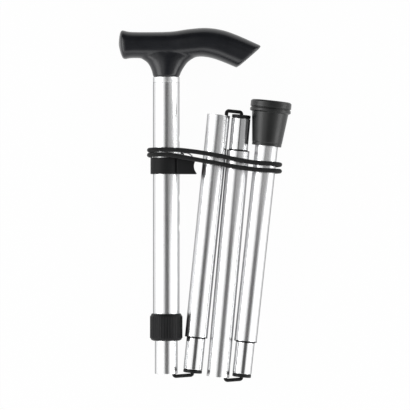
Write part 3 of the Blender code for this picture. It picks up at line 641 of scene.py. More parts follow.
def finished(
    name: str, shape: bmesh.types.BMesh, finish: Finish, crease: float = CREASE
) -> bpy.types.Object:
    """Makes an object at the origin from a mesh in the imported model's coordinates.

    Args:
        name: Name of the piece.
        shape: Its mesh, which this frees.
        finish: What it is made of.
        crease: Angle in degrees past which an edge stays sharp.

    Returns:
        The object, linked to the scene.
    """
    mesh = bpy.data.meshes.new(name)
    shape.to_mesh(mesh)
    shape.free()
    mesh.shade_smooth()
    mesh.set_sharp_from_angle(angle=math.radians(crease))
    obj = bpy.data.objects.new(name, mesh)
    bpy.context.scene.collection.objects.link(obj)
    mesh.materials.clear()
    mesh.materials.append(finish.material(f"{name}_{finish.slot.value}"))
    return obj


def baked(obj: bpy.types.Object) -> None:
    """Turns an object's modifiers into its plain mesh."""
    graph = bpy.context.evaluated_depsgraph_get()
    made = bpy.data.meshes.new_from_object(obj.evaluated_get(graph), depsgraph=graph)
    old = obj.data
    obj.modifiers.clear()
    obj.data = made
    made.name = obj.name
    if old.users == 0:
        bpy.data.meshes.remove(old)


def carve(obj: bpy.types.Object, cutters: Iterable[bpy.types.Object]) -> None:
    """Takes each cutter's shape out of an object, and deletes the cutters."""
    cutters = list(cutters)
    for cutter in cutters:
        boolean = obj.modifiers.new(cutter.name, "BOOLEAN")
        boolean.operation = "DIFFERENCE"
        boolean.solver = "EXACT"
        boolean.object = cutter
    baked(obj)
    for cutter in cutters:
        bpy.data.objects.remove(cutter, do_unlink=True)
    obj.data.shade_smooth()
    obj.data.set_sharp_from_angle(angle=math.radians(CREASE))


def merge(objects: Sequence[bpy.types.Object]) -> None:
    """Puts the meshes of several objects into the first, and deletes the others."""
    shape = bmesh.new()
    for obj in objects:
        shape.from_mesh(obj.data)
    shape.to_mesh(objects[0].data)
    shape.free()
    for obj in objects[1:]:
        bpy.data.objects.remove(obj, do_unlink=True)


def moulded(obj: bpy.types.Object, voxel: float, passes: int) -> None:
    """Joins an object's overlapping shells into one skin and softens its edges."""
    remesh = obj.modifiers.new("skin", "REMESH")
    remesh.mode = "VOXEL"
    remesh.voxel_size = voxel
    remesh.use_smooth_shade = True
    soften = obj.modifiers.new("soften", "SMOOTH")
    soften.factor = 0.5
    soften.iterations = passes
    baked(obj)


def eased(outline: Outline, radius: float, steps: int = 4) -> Outline:
    """Rounds the corners of a lathe's outline.

    Args:
        outline: Radius and height of each corner; a corner on the axis stays.
        radius: Radius of the rounding, which a short side makes smaller.
        steps: Faces in each rounding.

    Returns:
        The rounded outline.
    """
    made: Outline = []
    count = len(outline)
    for i, corner in enumerate(outline):
        here = Vector(corner)
        before, after = Vector(outline[i - 1]), Vector(outline[(i + 1) % count])
        into, away = (before - here), (after - here)
        stays = here.x < TINY or into.length < TINY or away.length < TINY
        if stays or into.angle(away) / 2 > BLUNT:
            made.append(corner)
            continue
        half = into.angle(away) / 2
        reach = min(radius / math.tan(half), 0.45 * into.length, 0.45 * away.length)
        first, last = here + reach * into.normalized(), here + reach * away.normalized()
        for k in range(steps + 1):
            t = k / steps
            spot = first * (1 - t) ** 2 + here * 2 * t * (1 - t) + last * t * t
            made.append((spot.x, spot.y))
    return made


def pipe(outer: float, inner: float, low: float, high: float) -> Outline:
    """Returns the outline of a tube between two heights."""
    return [(inner, high), (outer, high), (outer, low), (inner, low)]


def circle(radius: float, sides: int) -> Outline:
    """Returns a circle's corners."""
    turns = (math.tau * k / sides for k in range(sides))
    return [(radius * math.cos(turn), radius * math.sin(turn)) for turn in turns]


def squared(turn: float, power: float) -> tuple[float, float]:
    """Returns the point at one turn of a superellipse with unit half axes."""
    a, b = math.cos(turn), math.sin(turn)
    return math.copysign(abs(a) ** power, a), math.copysign(abs(b) ** power, b)


def turned(
    name: str, outline: Outline, frame: Matrix, finish: Finish, segments: int = 96
) -> bpy.types.Object:
    """Turns a closed outline about a frame's Z, as on a lathe.

    Args:
        name: Name of the piece.
        outline: Radius and height of each corner, all round the section.
        frame: Where the axis lies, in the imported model's coordinates.
        finish: What it is made of.
        segments: Faces round the axis.

    Returns:
        The piece.
    """
    shape = bmesh.new()
    rings: list[list[bmesh.types.BMVert]] = []
    for radius, height in outline:
        corners = [(0.0, 0.0)] if radius < TINY else circle(radius, segments)
        rings.append([shape.verts.new(frame @ Vector((*corner, height))) for corner in corners])
    for ring, following in zip(rings, rings[1:] + rings[:1]):
        if len(ring) == 1 and len(following) == 1:
            continue
        for k in range(segments):
            j = (k + 1) % segments
            face = [row[i % len(row)] for row, i in ((ring, k), (ring, j))]
            face += [row[i % len(row)] for row, i in ((following, j), (following, k))]
            shape.faces.new(list(dict.fromkeys(face)))
    bmesh.ops.recalc_face_normals(shape, faces=shape.faces)
    return finished(name, shape, finish)


def evened(points: Sequence[Vector], spacing: float) -> list[Vector]:
    """Returns the given points with more between those that lie far apart."""
    made = [points[0]]
    for start, end in zip(points, points[1:]):
        count = max(1, round((end - start).length / spacing))
        made.extend(start.lerp(end, i / count) for i in range(1, count + 1))
    return made


def between(stations: Sequence[Sequence[float]], steps: int) -> list[Vector]:
    """Returns stations of equal size with more between them, on a Catmull-Rom curve."""
    rows = [Vector(station) for station in stations]
    ends = [2 * rows[0] - rows[1], *rows, 2 * rows[-1] - rows[-2]]
    made = []
    for a, b, c, d in zip(ends, ends[1:], ends[2:], ends[3:]):
        for step in range(steps):
            t = step / steps
            bend = (2 * a - 5 * b + 4 * c - d) * t * t + (3 * b - a - 3 * c + d) * t**3
            made.append(0.5 * (2 * b + (c - a) * t + bend))
    made.append(rows[-1])
    return made


def smooth_route(points: Sequence[Sequence[float]], spacing: float) -> list[Vector]:
    """Returns evenly spaced points on a Catmull-Rom curve through the given ones."""
    fine = between(points, 24)
    reached = [0.0]
    for p, q in zip(fine, fine[1:]):
        reached.append(reached[-1] + (q - p).length)
    count = max(2, round(reached[-1] / spacing))
    route, at = [], 0
    for i in range(count + 1):
        target = reached[-1] * i / count
        while at < len(fine) - 2 and reached[at + 1] < target:
            at += 1
        share = (target - reached[at]) / (reached[at + 1] - reached[at])
        route.append(fine[at].lerp(fine[at + 1], share))
    return route


def length_of(route: Sequence[Vector]) -> float:
    """Returns a route's length."""
    return sum((q - p).length for p, q in zip(route, route[1:]))


def swept(
    name: str,
    route: Sequence[Vector],
    section: Section,
    finish: Finish,
    diameter: float,
    normal: Vector | None = None,
) -> bpy.types.Object:
    """Sweeps a section along a route, with a UV map whose V counts diameters along it.

    Args:
        name: Name of the piece.
        route: The points that the section's centre follows.
        section: Gives the section's corners at one place along the route.
        finish: What it is made of.
        diameter: Length that V counts in.
        normal: Direction of the section's first axis; where None, it is carried along unturned.

    Returns:
        The piece, closed at both ends.
    """
    shape = bmesh.new()
    weave = shape.loops.layers.uv.new("weave")
    whole = length_of(route)
    side = Vector((0.0, 0.0, 1.0)) if normal is None else normal
    rows, reached, heights = [], 0.0, []
    for i, spot in enumerate(route):
        toward = (route[min(i + 1, len(route) - 1)] - route[max(i - 1, 0)]).normalized()
        side = (side if normal is None else normal) - toward * toward.dot(side)
        if side.length < 1e-4:
            side = toward.orthogonal()
        side = side.normalized()
        other = toward.cross(side)
        if i:
            reached += (spot - route[i - 1]).length
        corners = section(reached, whole - reached)
        rows.append([shape.verts.new(spot + a * side + b * other) for a, b in corners])
        heights.append(reached / diameter)
    count = len(rows[0])
    for i, (row, following) in enumerate(zip(rows, rows[1:])):
        for k in range(count):
            j = (k + 1) % count
            face = shape.faces.new((row[k], row[j], following[j], following[k]))
            spots = (
                (k / count, heights[i]),
                ((k + 1) / count, heights[i]),
                ((k + 1) / count, heights[i + 1]),
                (k / count, heights[i + 1]),
            )
            for loop, spot in zip(face.loops, spots):
                loop[weave].uv = spot
    for row, spot, height in ((rows[0], route[0], 0.0), (rows[-1], route[-1], heights[-1])):
        middle = shape.verts.new(spot)
        for k in range(count):
            face = shape.faces.new((row[k], row[(k + 1) % count], middle))
            for loop, across in zip(face.loops, (k / count, (k + 1) / count, k / count)):
                loop[weave].uv = (across, height)
    bmesh.ops.recalc_face_normals(shape, faces=shape.faces)
    return finished(name, shape, finish, 60.0)


def round_section(radius: float, sides: int = 20, dome: float = 0.0) -> Section:
    """Returns a round section for swept(), which closes to a dome over a length at each end."""
    least = 0.12  # share of the radius that is left at the very end

    def section(start: float, rest: float) -> Outline:
        """Gives the circle at one place along the route."""
        left, share = min(start, rest), 1.0
        if dome > 0.0 and left < dome:
            share = max(least, math.sqrt(max(0.0, 1.0 - (1.0 - left / dome) ** 2)))
        return circle(share * radius, sides)

    return section


def lofted(
    name: str, rings: Sequence[Sequence[Vector]], ends: Sequence[Vector], finish: Finish
) -> bpy.types.Object:
    """Skins closed rings of equal count, with a fan at each end."""
    shape = bmesh.new()
    rows = [[shape.verts.new(spot) for spot in ring] for ring in rings]
    for row, following in zip(rows, rows[1:]):
        for k in range(len(row)):
            j = (k + 1) % len(row)
            shape.faces.new((row[k], row[j], following[j], following[k]))
    for row, end in ((rows[0], ends[0]), (rows[-1], ends[1])):
        middle = shape.verts.new(end)
        for k in range(len(row)):
            shape.faces.new((row[k], row[(k + 1) % len(row)], middle))
    bmesh.ops.recalc_face_normals(shape, faces=shape.faces)
    return finished(name, shape, finish)


def oval(
    centre: Vector, half_a: Vector, half_b: Vector, squareness: float, sides: int = 88
) -> list[Vector]:
    """Returns a closed ring of points on a superellipse with the two given half axes."""
    spots = (squared(math.tau * k / sides, 2 / squareness) for k in range(sides))
    return [centre + half_a * a + half_b * b for a, b in spots]


def rod(name: str, radius: float, low: float, high: float, frame: Matrix) -> bpy.types.Object:
    """Makes a plain cylinder along a frame's Z, to carve with."""
    shape = bmesh.new()
    bmesh.ops.create_cone(
        shape, cap_ends=True, segments=48, radius1=radius, radius2=radius, depth=high - low
    )
    middle = Matrix.Translation((0.0, 0.0, (low + high) / 2))
    bmesh.ops.transform(shape, matrix=frame @ middle, verts=shape.verts)
    return finished(name, shape, MouldedPlastic())


def carried(obj: bpy.types.Object, body: Body, finish_slot: Slot, *nodes: str) -> bpy.types.Object:
    """Makes a finished piece ride on a body in place of the CAD nodes that it stands for."""
    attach(obj, body.value)
    named(obj, finish_slot, *nodes)
    LOG.info("%s rides on %s", obj.name, body.value)
    return obj


def named(obj: bpy.types.Object, finish_slot: Slot, *nodes: str) -> None:
    """Hides the CAD nodes that a piece stands for."""
    if nodes:
        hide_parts(*nodes)


def dress_node(frame: dict, node: str, finish: Finish) -> None:
    """Gives a CAD node its finish."""
    mesh = frame["nodes"][node].data
    mesh.materials.clear()
    mesh.materials.append(finish.material(f"{node}_{finish.slot.value}"))
    LOG.info("%s keeps its CAD shape", node)


class Pattern:
    """A Geometry Nodes tree that repeats a small form, with named inputs for its sizes."""

    def __init__(self, name: str) -> None:
        """Starts an empty tree."""
        self.name = name
        self.tree = bpy.data.node_groups.new(name, "GeometryNodeTree")
        self.values: dict[str, object] = {}
        self.size("Form", "NodeSocketGeometry", None)
        self.tree.interface.new_socket(
            name="Form", in_out="OUTPUT", socket_type="NodeSocketGeometry"
        )
        self.given = self.tree.nodes.new("NodeGroupInput")

    def size(self, label: str, kind: str, value: object) -> None:
        """Adds a named input and keeps the value that it is given."""
        socket = self.tree.interface.new_socket(name=label, in_out="INPUT", socket_type=kind)
        if value is not None:
            self.values[socket.identifier] = value

    def node(self, kind: str, **links: object) -> bpy.types.Node:
        """Adds a node.

        Args:
            kind: Blender's type name of the node.
            links: For each input, with _ for a space, another node's output, the label of one
                of the tree's inputs, or a plain value.

        Returns:
            The new node.
        """
        made = self.tree.nodes.new(kind)
        for label, source in links.items():
            socket = made.inputs[label.replace("_", " ")]
            if isinstance(source, bpy.types.NodeSocket):
                self.tree.links.new(source, socket)
            elif isinstance(source, str):
                self.tree.links.new(self.given.outputs[source], socket)
            else:
                socket.default_value = source
        return made

    def grow(
        self, instances: bpy.types.NodeSocket, finish: Finish, host: bpy.types.Mesh, frame: Matrix
    ) -> bpy.types.Object:
        """Ends the tree, runs it on a host mesh and keeps the result as a plain mesh.

        Args:
            instances: The repeated form, as instances.
            finish: What the form is made of.
            host: Mesh that the tree starts from.
            frame: Where the result goes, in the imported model's coordinates.

        Returns:
            The piece, with no modifier left on it.
        """
        material = finish.material(f"{self.name}_{finish.slot.value}")
        self.size("Finish", "NodeSocketMaterial", material)
        realized = self.node("GeometryNodeRealizeInstances", Geometry=instances)
        shaded = self.node("GeometryNodeSetShadeSmooth", Geometry=realized.outputs[0])
        dressed = self.node(
            "GeometryNodeSetMaterial", Geometry=shaded.outputs[0], Material="Finish"
        )
        last = self.tree.nodes.new("NodeGroupOutput")
        self.tree.links.new(dressed.outputs[0], last.inputs[0])
        obj = bpy.data.objects.new(self.name, host)
        bpy.context.scene.collection.objects.link(obj)
        modifier = obj.modifiers.new(self.name, "NODES")
        modifier.node_group = self.tree
        for identifier, value in self.values.items():
            modifier[identifier] = value
        baked(obj)
        obj.data.materials.clear()
        obj.data.materials.append(material)
        obj.data.polygons.foreach_set("material_index", [0] * len(obj.data.polygons))
        obj.data.transform(frame)
        obj.data.set_sharp_from_angle(angle=math.radians(50.0))
        return obj


def rib_ring(
    name: str,
    count: int,
    ring_radius: float,
    rib: tuple[float, float],
    finish: Finish,
    frame: Matrix,
) -> bpy.types.Object:
    """Stands round ribs in a ring about a frame's Z.

    Args:
        name: Name of the piece.
        count: How many ribs.
        ring_radius: Distance of their axes from the frame's Z.
        rib: Radius and length of a rib.
        finish: What they are made of.
        frame: The ring's middle.

    Returns:
        The piece.
    """
    pattern = Pattern(name)
    pattern.size("Count", "NodeSocketInt", count)
    pattern.size("Ring radius", "NodeSocketFloat", ring_radius)
    pattern.size("Rib radius", "NodeSocketFloat", rib[0])
    pattern.size("Rib length", "NodeSocketFloat", rib[1])
    circle = pattern.node("GeometryNodeMeshCircle", Vertices="Count", Radius="Ring radius")
    bar = pattern.node(
        "GeometryNodeMeshCylinder", Vertices=10, Radius="Rib radius", Depth="Rib length"
    )
    stood = pattern.node(
        "GeometryNodeInstanceOnPoints", Points=circle.outputs[0], Instance=bar.outputs["Mesh"]
    )
    return pattern.grow(stood.outputs[0], finish, bpy.data.meshes.new(name), frame)


def bead_row(
    name: str, route: Sequence[Vector], count: int, bead: tuple[float, float], finish: Finish
) -> bpy.types.Object:
    """Threads rings on a route, each square to it.

    Args:
        name: Name of the piece.
        route: The points that the row follows.
        count: How many rings.
        bead: Radius of a ring and of its wire.
        finish: What they are made of.

    Returns:
        The piece.
    """
    pattern = Pattern(name)
    pattern.size("Count", "NodeSocketInt", count)
    pattern.size("Bead radius", "NodeSocketFloat", bead[0])
    pattern.size("Wire radius", "NodeSocketFloat", bead[1])
    line = pattern.node("GeometryNodeMeshToCurve", Mesh="Form")
    even = pattern.node("GeometryNodeResampleCurve", Curve=line.outputs[0], Count="Count")
    toward = pattern.node("GeometryNodeInputTangent")
    turn = pattern.node("FunctionNodeAlignRotationToVector", Vector=toward.outputs[0])
    turn.axis = "Z"
    hoop = pattern.node("GeometryNodeCurvePrimitiveCircle", Resolution=28, Radius="Bead radius")
    wire = pattern.node("GeometryNodeCurvePrimitiveCircle", Resolution=8, Radius="Wire radius")
    ring = pattern.node(
        "GeometryNodeCurveToMesh", Curve=hoop.outputs[0], Profile_Curve=wire.outputs[0]
    )
    threaded = pattern.node(
        "GeometryNodeInstanceOnPoints",
        Points=even.outputs[0],
        Instance=ring.outputs[0],
        Rotation=turn.outputs[0],
    )
    host = bpy.data.meshes.new(name)
    host.from_pydata(list(route), [(i, i + 1) for i in range(len(route) - 1)], [])
    return pattern.grow(threaded.outputs[0], finish, host, Matrix())


# The studio


@dataclass(frozen=True)
class SoftBox:
    """A rectangular lamp that faces the pole."""

    name: str
    place: Point
    size: tuple[float, float]
    power: float

    def build(self) -> None:
        """Hangs the lamp."""
        data = bpy.data.lights.new(self.name, "AREA")
        data.shape = "RECTANGLE"
        data.size, data.size_y = self.size
        data.energy = self.power
        lamp = bpy.data.objects.new(self.name, data)
        lamp.location = self.place
        lamp.rotation_euler = (-lamp.location).to_track_quat("-Z", "Y").to_euler()
        bpy.context.scene.collection.objects.link(lamp)


def staged(
    name: str, corners: Sequence[Point], material: bpy.types.Material, hidden: Sequence[str] = ()
) -> None:
    """Makes a flat piece of the studio.

    Args:
        name: Its name.
        corners: Its corners, anticlockwise from its front.
        material: What it is made of.
        hidden: The kinds of rays that don't see it.
    """
    mesh = bpy.data.meshes.new(name)
    mesh.from_pydata(corners, [], [range(len(corners))])
    mesh.materials.append(material)
    obj = bpy.data.objects.new(name, mesh)
    for ray in hidden:
        setattr(obj, f"visible_{ray}", False)
    bpy.context.scene.collection.objects.link(obj)
    obj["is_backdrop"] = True


@dataclass(frozen=True)
class Studio:
    """The plain white studio: floor, surroundings, lamps and the camera straight above.

    The surroundings' angles are in degrees from straight up, towards the right.
    """

    view_height: float = 0.345
    distance: float = 2.4
    sensor: float = 36.0
    floor_half: float = 2.5
    shade: float = 0.08
    shade_from: float = -14.0
    shade_to: float = 28.0
    shade_soft: float = 6.0
    end_shade: float = 0.07
    end_from: float = 0.38
    end_to: float = 0.58
    ambient: float = 0.62
    flag_grey: float = 0.34
    flag_left: float = 0.04
    flag_right: float = 1.6
    flag_low: float = -0.02
    flag_high: float = 0.16
    flag_height: float = 0.25
    lamps: tuple[SoftBox, ...] = (
        SoftBox("end_lamp", (0.05, -1.0, 0.62), (1.2, 0.6), 3.0),
        SoftBox("left_box", (-0.88, 0.0, 0.47), (1.4, 0.56), 6.2),
        SoftBox("right_box", (0.95, 0.0, 0.31), (1.4, 0.56), 6.2),
    )

    def build_camera(self) -> None:
        """Hangs a long-lens camera straight above the folded pole, as the photograph has it."""
        low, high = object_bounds()
        middle = (low + high) / 2
        data = bpy.data.cameras.new("camera")
        data.sensor_width = self.sensor
        data.lens = self.sensor * self.distance / self.view_height
        data.clip_end = 20.0
        camera = bpy.data.objects.new("camera", data)
        camera.location = (middle.x, middle.y, middle.z + self.distance)
        bpy.context.scene.collection.objects.link(camera)
        bpy.context.scene.camera = camera

    def build_floor(self) -> None:
        """Lays the white floor that the pole lies on."""
        half = self.floor_half
        corners = [(-half, -half, 0.0), (half, -half, 0.0), (half, half, 0.0), (-half, half, 0.0)]
        staged("floor", corners, StudioFloor().material("floor_white"))

    def build_surroundings(self) -> None:
        """Makes the white surroundings, with the grey strip overhead that gives tubes a line."""
        world = bpy.data.worlds.new("studio")
        bpy.context.scene.world = world
        tree = ShaderTree.emptied(world)
        way = tree.node("ShaderNodeTexCoord")
        parts = tree.node("ShaderNodeSeparateXYZ")
        tree.link(way.outputs["Generated"], parts.inputs[0])
        angle = tree.math("ARCTAN2", parts.outputs["X"], parts.outputs["Z"])
        edges = []
        for at, low, high in ((self.shade_from, 0.0, 1.0), (self.shade_to, 1.0, 0.0)):
            ends = (math.radians(at - self.shade_soft), math.radians(at + self.shade_soft))
            edges.append(tree.span(angle, low, high, *ends, "SMOOTHSTEP"))
        # The grey strip, the dark end of the room past the handle, the plain level that lights
        # paint, and the camera's own white
        path = tree.node("ShaderNodeLightPath")
        stages = (
            (tree.math("MULTIPLY", *edges), 0.0, 1.0, self.shade),
            (parts.outputs["Y"], self.end_from, self.end_to, self.end_shade),
            (path.outputs["Is Diffuse Ray"], 0.0, 1.0, self.ambient),
            (path.outputs["Is Camera Ray"], 0.0, 1.0, 1.0),
        )
        glow: object = 1.0
        for share, start, end, level in stages:
            glow = tree.span(share, glow, level, start, end, "SMOOTHSTEP")
        back = tree.node("ShaderNodeBackground", {"Color": (1.0, 1.0, 1.0, 1.0)})
        tree.link(glow, back.inputs["Strength"])
        out = tree.node("ShaderNodeOutputWorld")
        tree.link(back.outputs[0], out.inputs["Surface"])

    def build_flag(self) -> None:
        """Hangs a grey flag to the right, over the upper half, that only reflections see."""
        grey = bpy.data.materials.new("flag_grey")
        tree = ShaderTree.emptied(grey)
        light = tree.node("ShaderNodeEmission", {"Strength": self.flag_grey})
        out = tree.node("ShaderNodeOutputMaterial")
        tree.link(light.outputs[0], out.inputs["Surface"])
        corners = [
            (x, y, self.flag_height)
            for x, y in (
                (self.flag_left, self.flag_high),
                (self.flag_right, self.flag_high),
                (self.flag_right, self.flag_low),
                (self.flag_left, self.flag_low),
            )
        ]
        staged(
            "flag", corners, grey, ("camera", "diffuse", "shadow", "transmission", "volume_scatter")
        )

    def build(self) -> None:
        """Builds the studio but for its camera, which comes first."""
        self.build_floor()
        self.build_surroundings()
        self.build_flag()
        for lamp in self.lamps:
            lamp.build()
        LOG.info("studio is ready")


# The pole's sub-assemblies


@dataclass(frozen=True)
class Grip:
    """The moulded T grip and the plate in its nose."""

    # The bar as stations: bottom x and y, top x and y, half width, from heel to nose
    bar: tuple[tuple[float, ...], ...] = (
        (-0.0383, 0.0195, -0.0394, 0.0345, 0.0085),
        (-0.0357, 0.0149, -0.0375, 0.0391, 0.0130),
        (-0.0290, 0.0157, -0.0305, 0.0378, 0.0134),
        (-0.0120, 0.0155, -0.0120, 0.0376, 0.0138),
        (0.0060, 0.0155, 0.0050, 0.0381, 0.0144),
        (0.0200, 0.0162, 0.0190, 0.0401, 0.0152),
        (0.0300, 0.0170, 0.0335, 0.0411, 0.0158),
        (0.0395, 0.0154, 0.0470, 0.0393, 0.0155),
        (0.0485, 0.0122, 0.0600, 0.0349, 0.0147),
        (0.0593, 0.0076, 0.0804, 0.0258, 0.0132),
    )
    heel: Point = (-0.0402, 0.0270, 0.0)
    # The neck as stations: height, left and right edge, half width
    neck: tuple[tuple[float, ...], ...] = (
        (0.0, -0.0112, 0.0112, 0.0112),
        (0.0040, -0.0119, 0.0126, 0.0116),
        (0.0090, -0.0139, 0.0156, 0.0121),
        (0.0125, -0.0166, 0.0184, 0.0126),
        (0.0152, -0.0206, 0.0222, 0.0128),
        (0.0180, -0.0245, 0.0265, 0.0124),
        (0.0230, -0.0240, 0.0270, 0.0110),
        (0.0280, -0.0170, 0.0200, 0.0080),
    )
    squareness: float = 2.35
    boss_depth: float = 0.0240
    cap_margin: float = 0.0022
    cap_depth: float = 0.0022
    cap_edge: float = 0.0006
    voxel: float = 0.00065
    passes: int = 36
    finish: Finish = SoftGrip()

    def nose(self) -> Matrix:
        """Returns a frame on the nose's slanted end, with Z out of it and X along its length."""
        low_x, low_y, high_x, high_y, _ = self.bar[-1]
        tall = Vector((high_x - low_x, high_y - low_y, 0.0)).normalized()
        outward = Vector((tall.y, -tall.x, 0.0))
        frame = Matrix((tall, outward.cross(tall), outward)).transposed().to_4x4()
        frame.translation = Vector(((low_x + high_x) / 2, (low_y + high_y) / 2, 0.0)) + FOOT
        return frame

    def plate(self, name: str, levels: Sequence[tuple[float, float]]) -> bpy.types.Object:
        """Makes an oval plate on the nose from pairs of margin and height over the end face."""
        low_x, low_y, high_x, high_y, half_width = self.bar[-1]
        half_length = math.hypot(high_x - low_x, high_y - low_y) / 2
        frame = self.nose()
        rings = []
        for margin, height in levels:
            centre = frame @ Vector((0.0, 0.0, height))
            tall = frame.to_3x3() @ Vector((half_length - margin, 0.0, 0.0))
            wide = Vector((0.0, 0.0, half_width - margin))
            rings.append(oval(centre, tall, wide, self.squareness))
        ends = [frame @ Vector((0.0, 0.0, levels[i][1])) for i in (0, -1)]
        return lofted(name, rings, ends, self.finish)

    def skin(self) -> bpy.types.Object:
        """Moulds the bar, the neck and the boss into one grip."""
        rings = []
        for low_x, low_y, high_x, high_y, half_width in between(self.bar, 9):
            centre = Vector(((low_x + high_x) / 2, (low_y + high_y) / 2, 0.0)) + FOOT
            tall = Vector(((high_x - low_x) / 2, (high_y - low_y) / 2, 0.0))
            rings.append(oval(centre, tall, Vector((0.0, 0.0, half_width)), self.squareness))
        ends = [Vector(self.heel) + FOOT, self.nose().translation]
        grip = lofted("grip", rings, ends, self.finish)
        rings = []
        for height, left, right, half_width in between(self.neck, 6):
            centre = Vector(((left + right) / 2, height, 0.0)) + FOOT
            wide = Vector(((right - left) / 2, 0.0, 0.0))
            rings.append(oval(centre, wide, Vector((0.0, 0.0, half_width)), 2.0))
        ends = [sum(ring, Vector()) / len(ring) for ring in (rings[0], rings[-1])]
        neck = lofted("neck_form", rings, ends, self.finish)
        boss = rod(
            "boss_form", TUBES.outer_bore - GAPS.fit, -self.neck[2][0], self.boss_depth, TUBE_AXIS
        )
        merge([grip, neck, boss])
        moulded(grip, self.voxel, self.passes)
        return grip

    def build(self) -> None:
        """Builds the grip with its plate, on the handle's section."""
        grip = self.skin()
        levels = [(self.cap_margin, height) for height in (-self.cap_depth, self.cap_depth)]
        carve(grip, [self.plate("recess_form", levels)])
        carried(grip, Body.HANDLE, Slot.PLASTIC, "handle")
        # The plate's edge is rounded, and its middle lies a little lower than its rim
        margin, edge, top = self.cap_margin + GAPS.touch, self.cap_edge, -GAPS.touch
        levels = [
            (margin, GAPS.touch - self.cap_depth),
            (margin, top - edge),
            (margin + 0.3 * edge, top - 0.3 * edge),
            (margin + edge, top),
            (margin + 4 * edge, top),
            (margin + 5 * edge, top - 0.5 * edge),
            (margin + 7 * edge, top - 0.5 * edge),
        ]
        plate = self.plate("nose_plate", levels)
        carried(plate, Body.HANDLE, Slot.PLASTIC, "nose_cap")


@dataclass(frozen=True)
class HeightTubes:
    """The tube under the grip with its height holes, and the tube that slides in it."""

    hole_pitch: float = 0.0250
    hole_count: int = 4
    ferrule: float = 0.0046  # length of the rougher end under the grip, down to its groove
    groove: float = 0.00022  # depth of the groove, which is twice as wide
    segments: int = 128

    def hole(self, name: str, depth: float, play: float) -> bpy.types.Object:
        """Makes the form of one hole on the nose side, by its depth and its play on the button."""
        side = along(0.0, -depth, 0.0)
        return rod(name, BUTTON_R + play, TUBES.tube_r / 2, TUBES.outer_r + GAPS.fit, side)

    def build(self, frame: dict) -> None:
        """Builds both tubes, and dresses what is in them."""
        ledge, groove = self.ferrule, self.groove
        outline = [
            (TUBES.outer_bore, TUBES.outer_length),
            (TUBES.outer_r, TUBES.outer_length),
            (TUBES.outer_r, ledge + 2 * groove),
            (TUBES.outer_r - groove, ledge + groove),
            (TUBES.outer_r, ledge),
            (TUBES.outer_r, GAPS.touch),
            (TUBES.outer_bore, GAPS.touch),
        ]
        metal = DrawnAluminium(band=(-FOOT.y, ledge - FOOT.y))
        outline = eased(outline, TUBES.edge)
        outer = turned("handle_tube", outline, TUBE_AXIS, metal, self.segments)
        holes = [
            self.hole(f"height_hole_{i + 1}", TOP_HOLE + i * self.hole_pitch, GAPS.fit)
            for i in range(self.hole_count)
        ]
        carve(outer, holes)
        carried(outer, Body.HANDLE, Slot.ALUMINIUM, "outer_tube")
        outline = pipe(TUBES.tube_r, TUBES.tube_bore, TUBES.lower_top, TUBES.lower_end)
        outline = eased(outline, TUBES.edge)
        inner = turned("sliding_tube", outline, TUBE_AXIS, DrawnAluminium(), self.segments)
        carve(inner, [self.hole("button_hole", TOP_HOLE, GAPS.touch)])
        carried(inner, Body.LOWER, Slot.ALUMINIUM, "lower_tube")
        for node in ("guide_bush", "upper_cord_anchor", "split_bush"):
            dress_node(frame, node, MouldedPlastic())
        dress_node(frame, "button_spring", BrightSteel())


@dataclass(frozen=True)
class SnapButton:
    """The sprung button that sets the height."""

    length: float = 0.0075
    flange_r: float = 0.0039
    flange: float = 0.0008
    edge: float = 0.0003

    def build(self) -> None:
        """Builds the button, held in under the top hole."""
        top, inner = TUBES.tube_r, TUBES.tube_r - self.length
        dome = BUTTON_R / 3
        outline = [
            (0.0, top),
            (BUTTON_R * 0.5, top - dome * 0.12),
            (BUTTON_R - dome * 0.6, top - dome * 0.4),
            (BUTTON_R, top - dome * 1.2),
            (BUTTON_R, inner),
            (self.flange_r, inner),
            (self.flange_r, inner - self.flange),
            (0.0, inner - self.flange),
        ]
        axis = along(0.0, -TOP_HOLE, 0.0)
        button = turned("snap_stud", eased(outline, self.edge), axis, BrightSteel(), 48)
        carried(button, Body.BUTTON, Slot.STEEL, "snap_button")


@dataclass(frozen=True)
class LockingCollar:
    """The collar that is turned by hand to clamp the sliding tube."""

    radius: float = 0.0137
    length: float = 0.0227
    lip: float = 0.0014
    rounding: float = 0.0022
    bush_length: float = 0.0028
    edge: float = 0.0009
    rib_count: int = 40
    rib_r: float = 0.0005
    rib_sink: float = 0.0003
    finish: Finish = MouldedPlastic()

    def build(self) -> None:
        """Builds the collar and its ribs."""
        ledge = TUBES.outer_length + GAPS.touch + self.bush_length + GAPS.fit
        low = ledge + self.lip
        top = low - self.length
        bore, lip_r = TUBES.outer_r + GAPS.touch, TUBES.tube_r + GAPS.touch
        side, skin_r = self.rounding, self.radius - self.rib_sink
        outline = [
            (lip_r, low),
            (skin_r - side, low),
            (skin_r - side / 3, low - side / 3),
            (skin_r, low - side),
            (skin_r, top + side),
            (skin_r - side / 3, top + side / 3),
            (skin_r - side / 2, top),
            (bore, top),
            (bore, ledge),
            (lip_r, ledge),
        ]
        collar = turned("collar_shell", eased(outline, self.edge), TUBE_AXIS, self.finish, 120)
        carried(collar, Body.COLLAR, Slot.PLASTIC, "locking_collar")
        middle = TUBE_AXIS @ Matrix.Translation((0.0, 0.0, (low + top) / 2))
        ribs = rib_ring(
            "collar_ribs",
            self.rib_count,
            self.radius - self.rib_r,
            (self.rib_r, self.length - 2 * side),
            self.finish,
            middle,
        )
        carried(ribs, Body.COLLAR, Slot.PLASTIC)


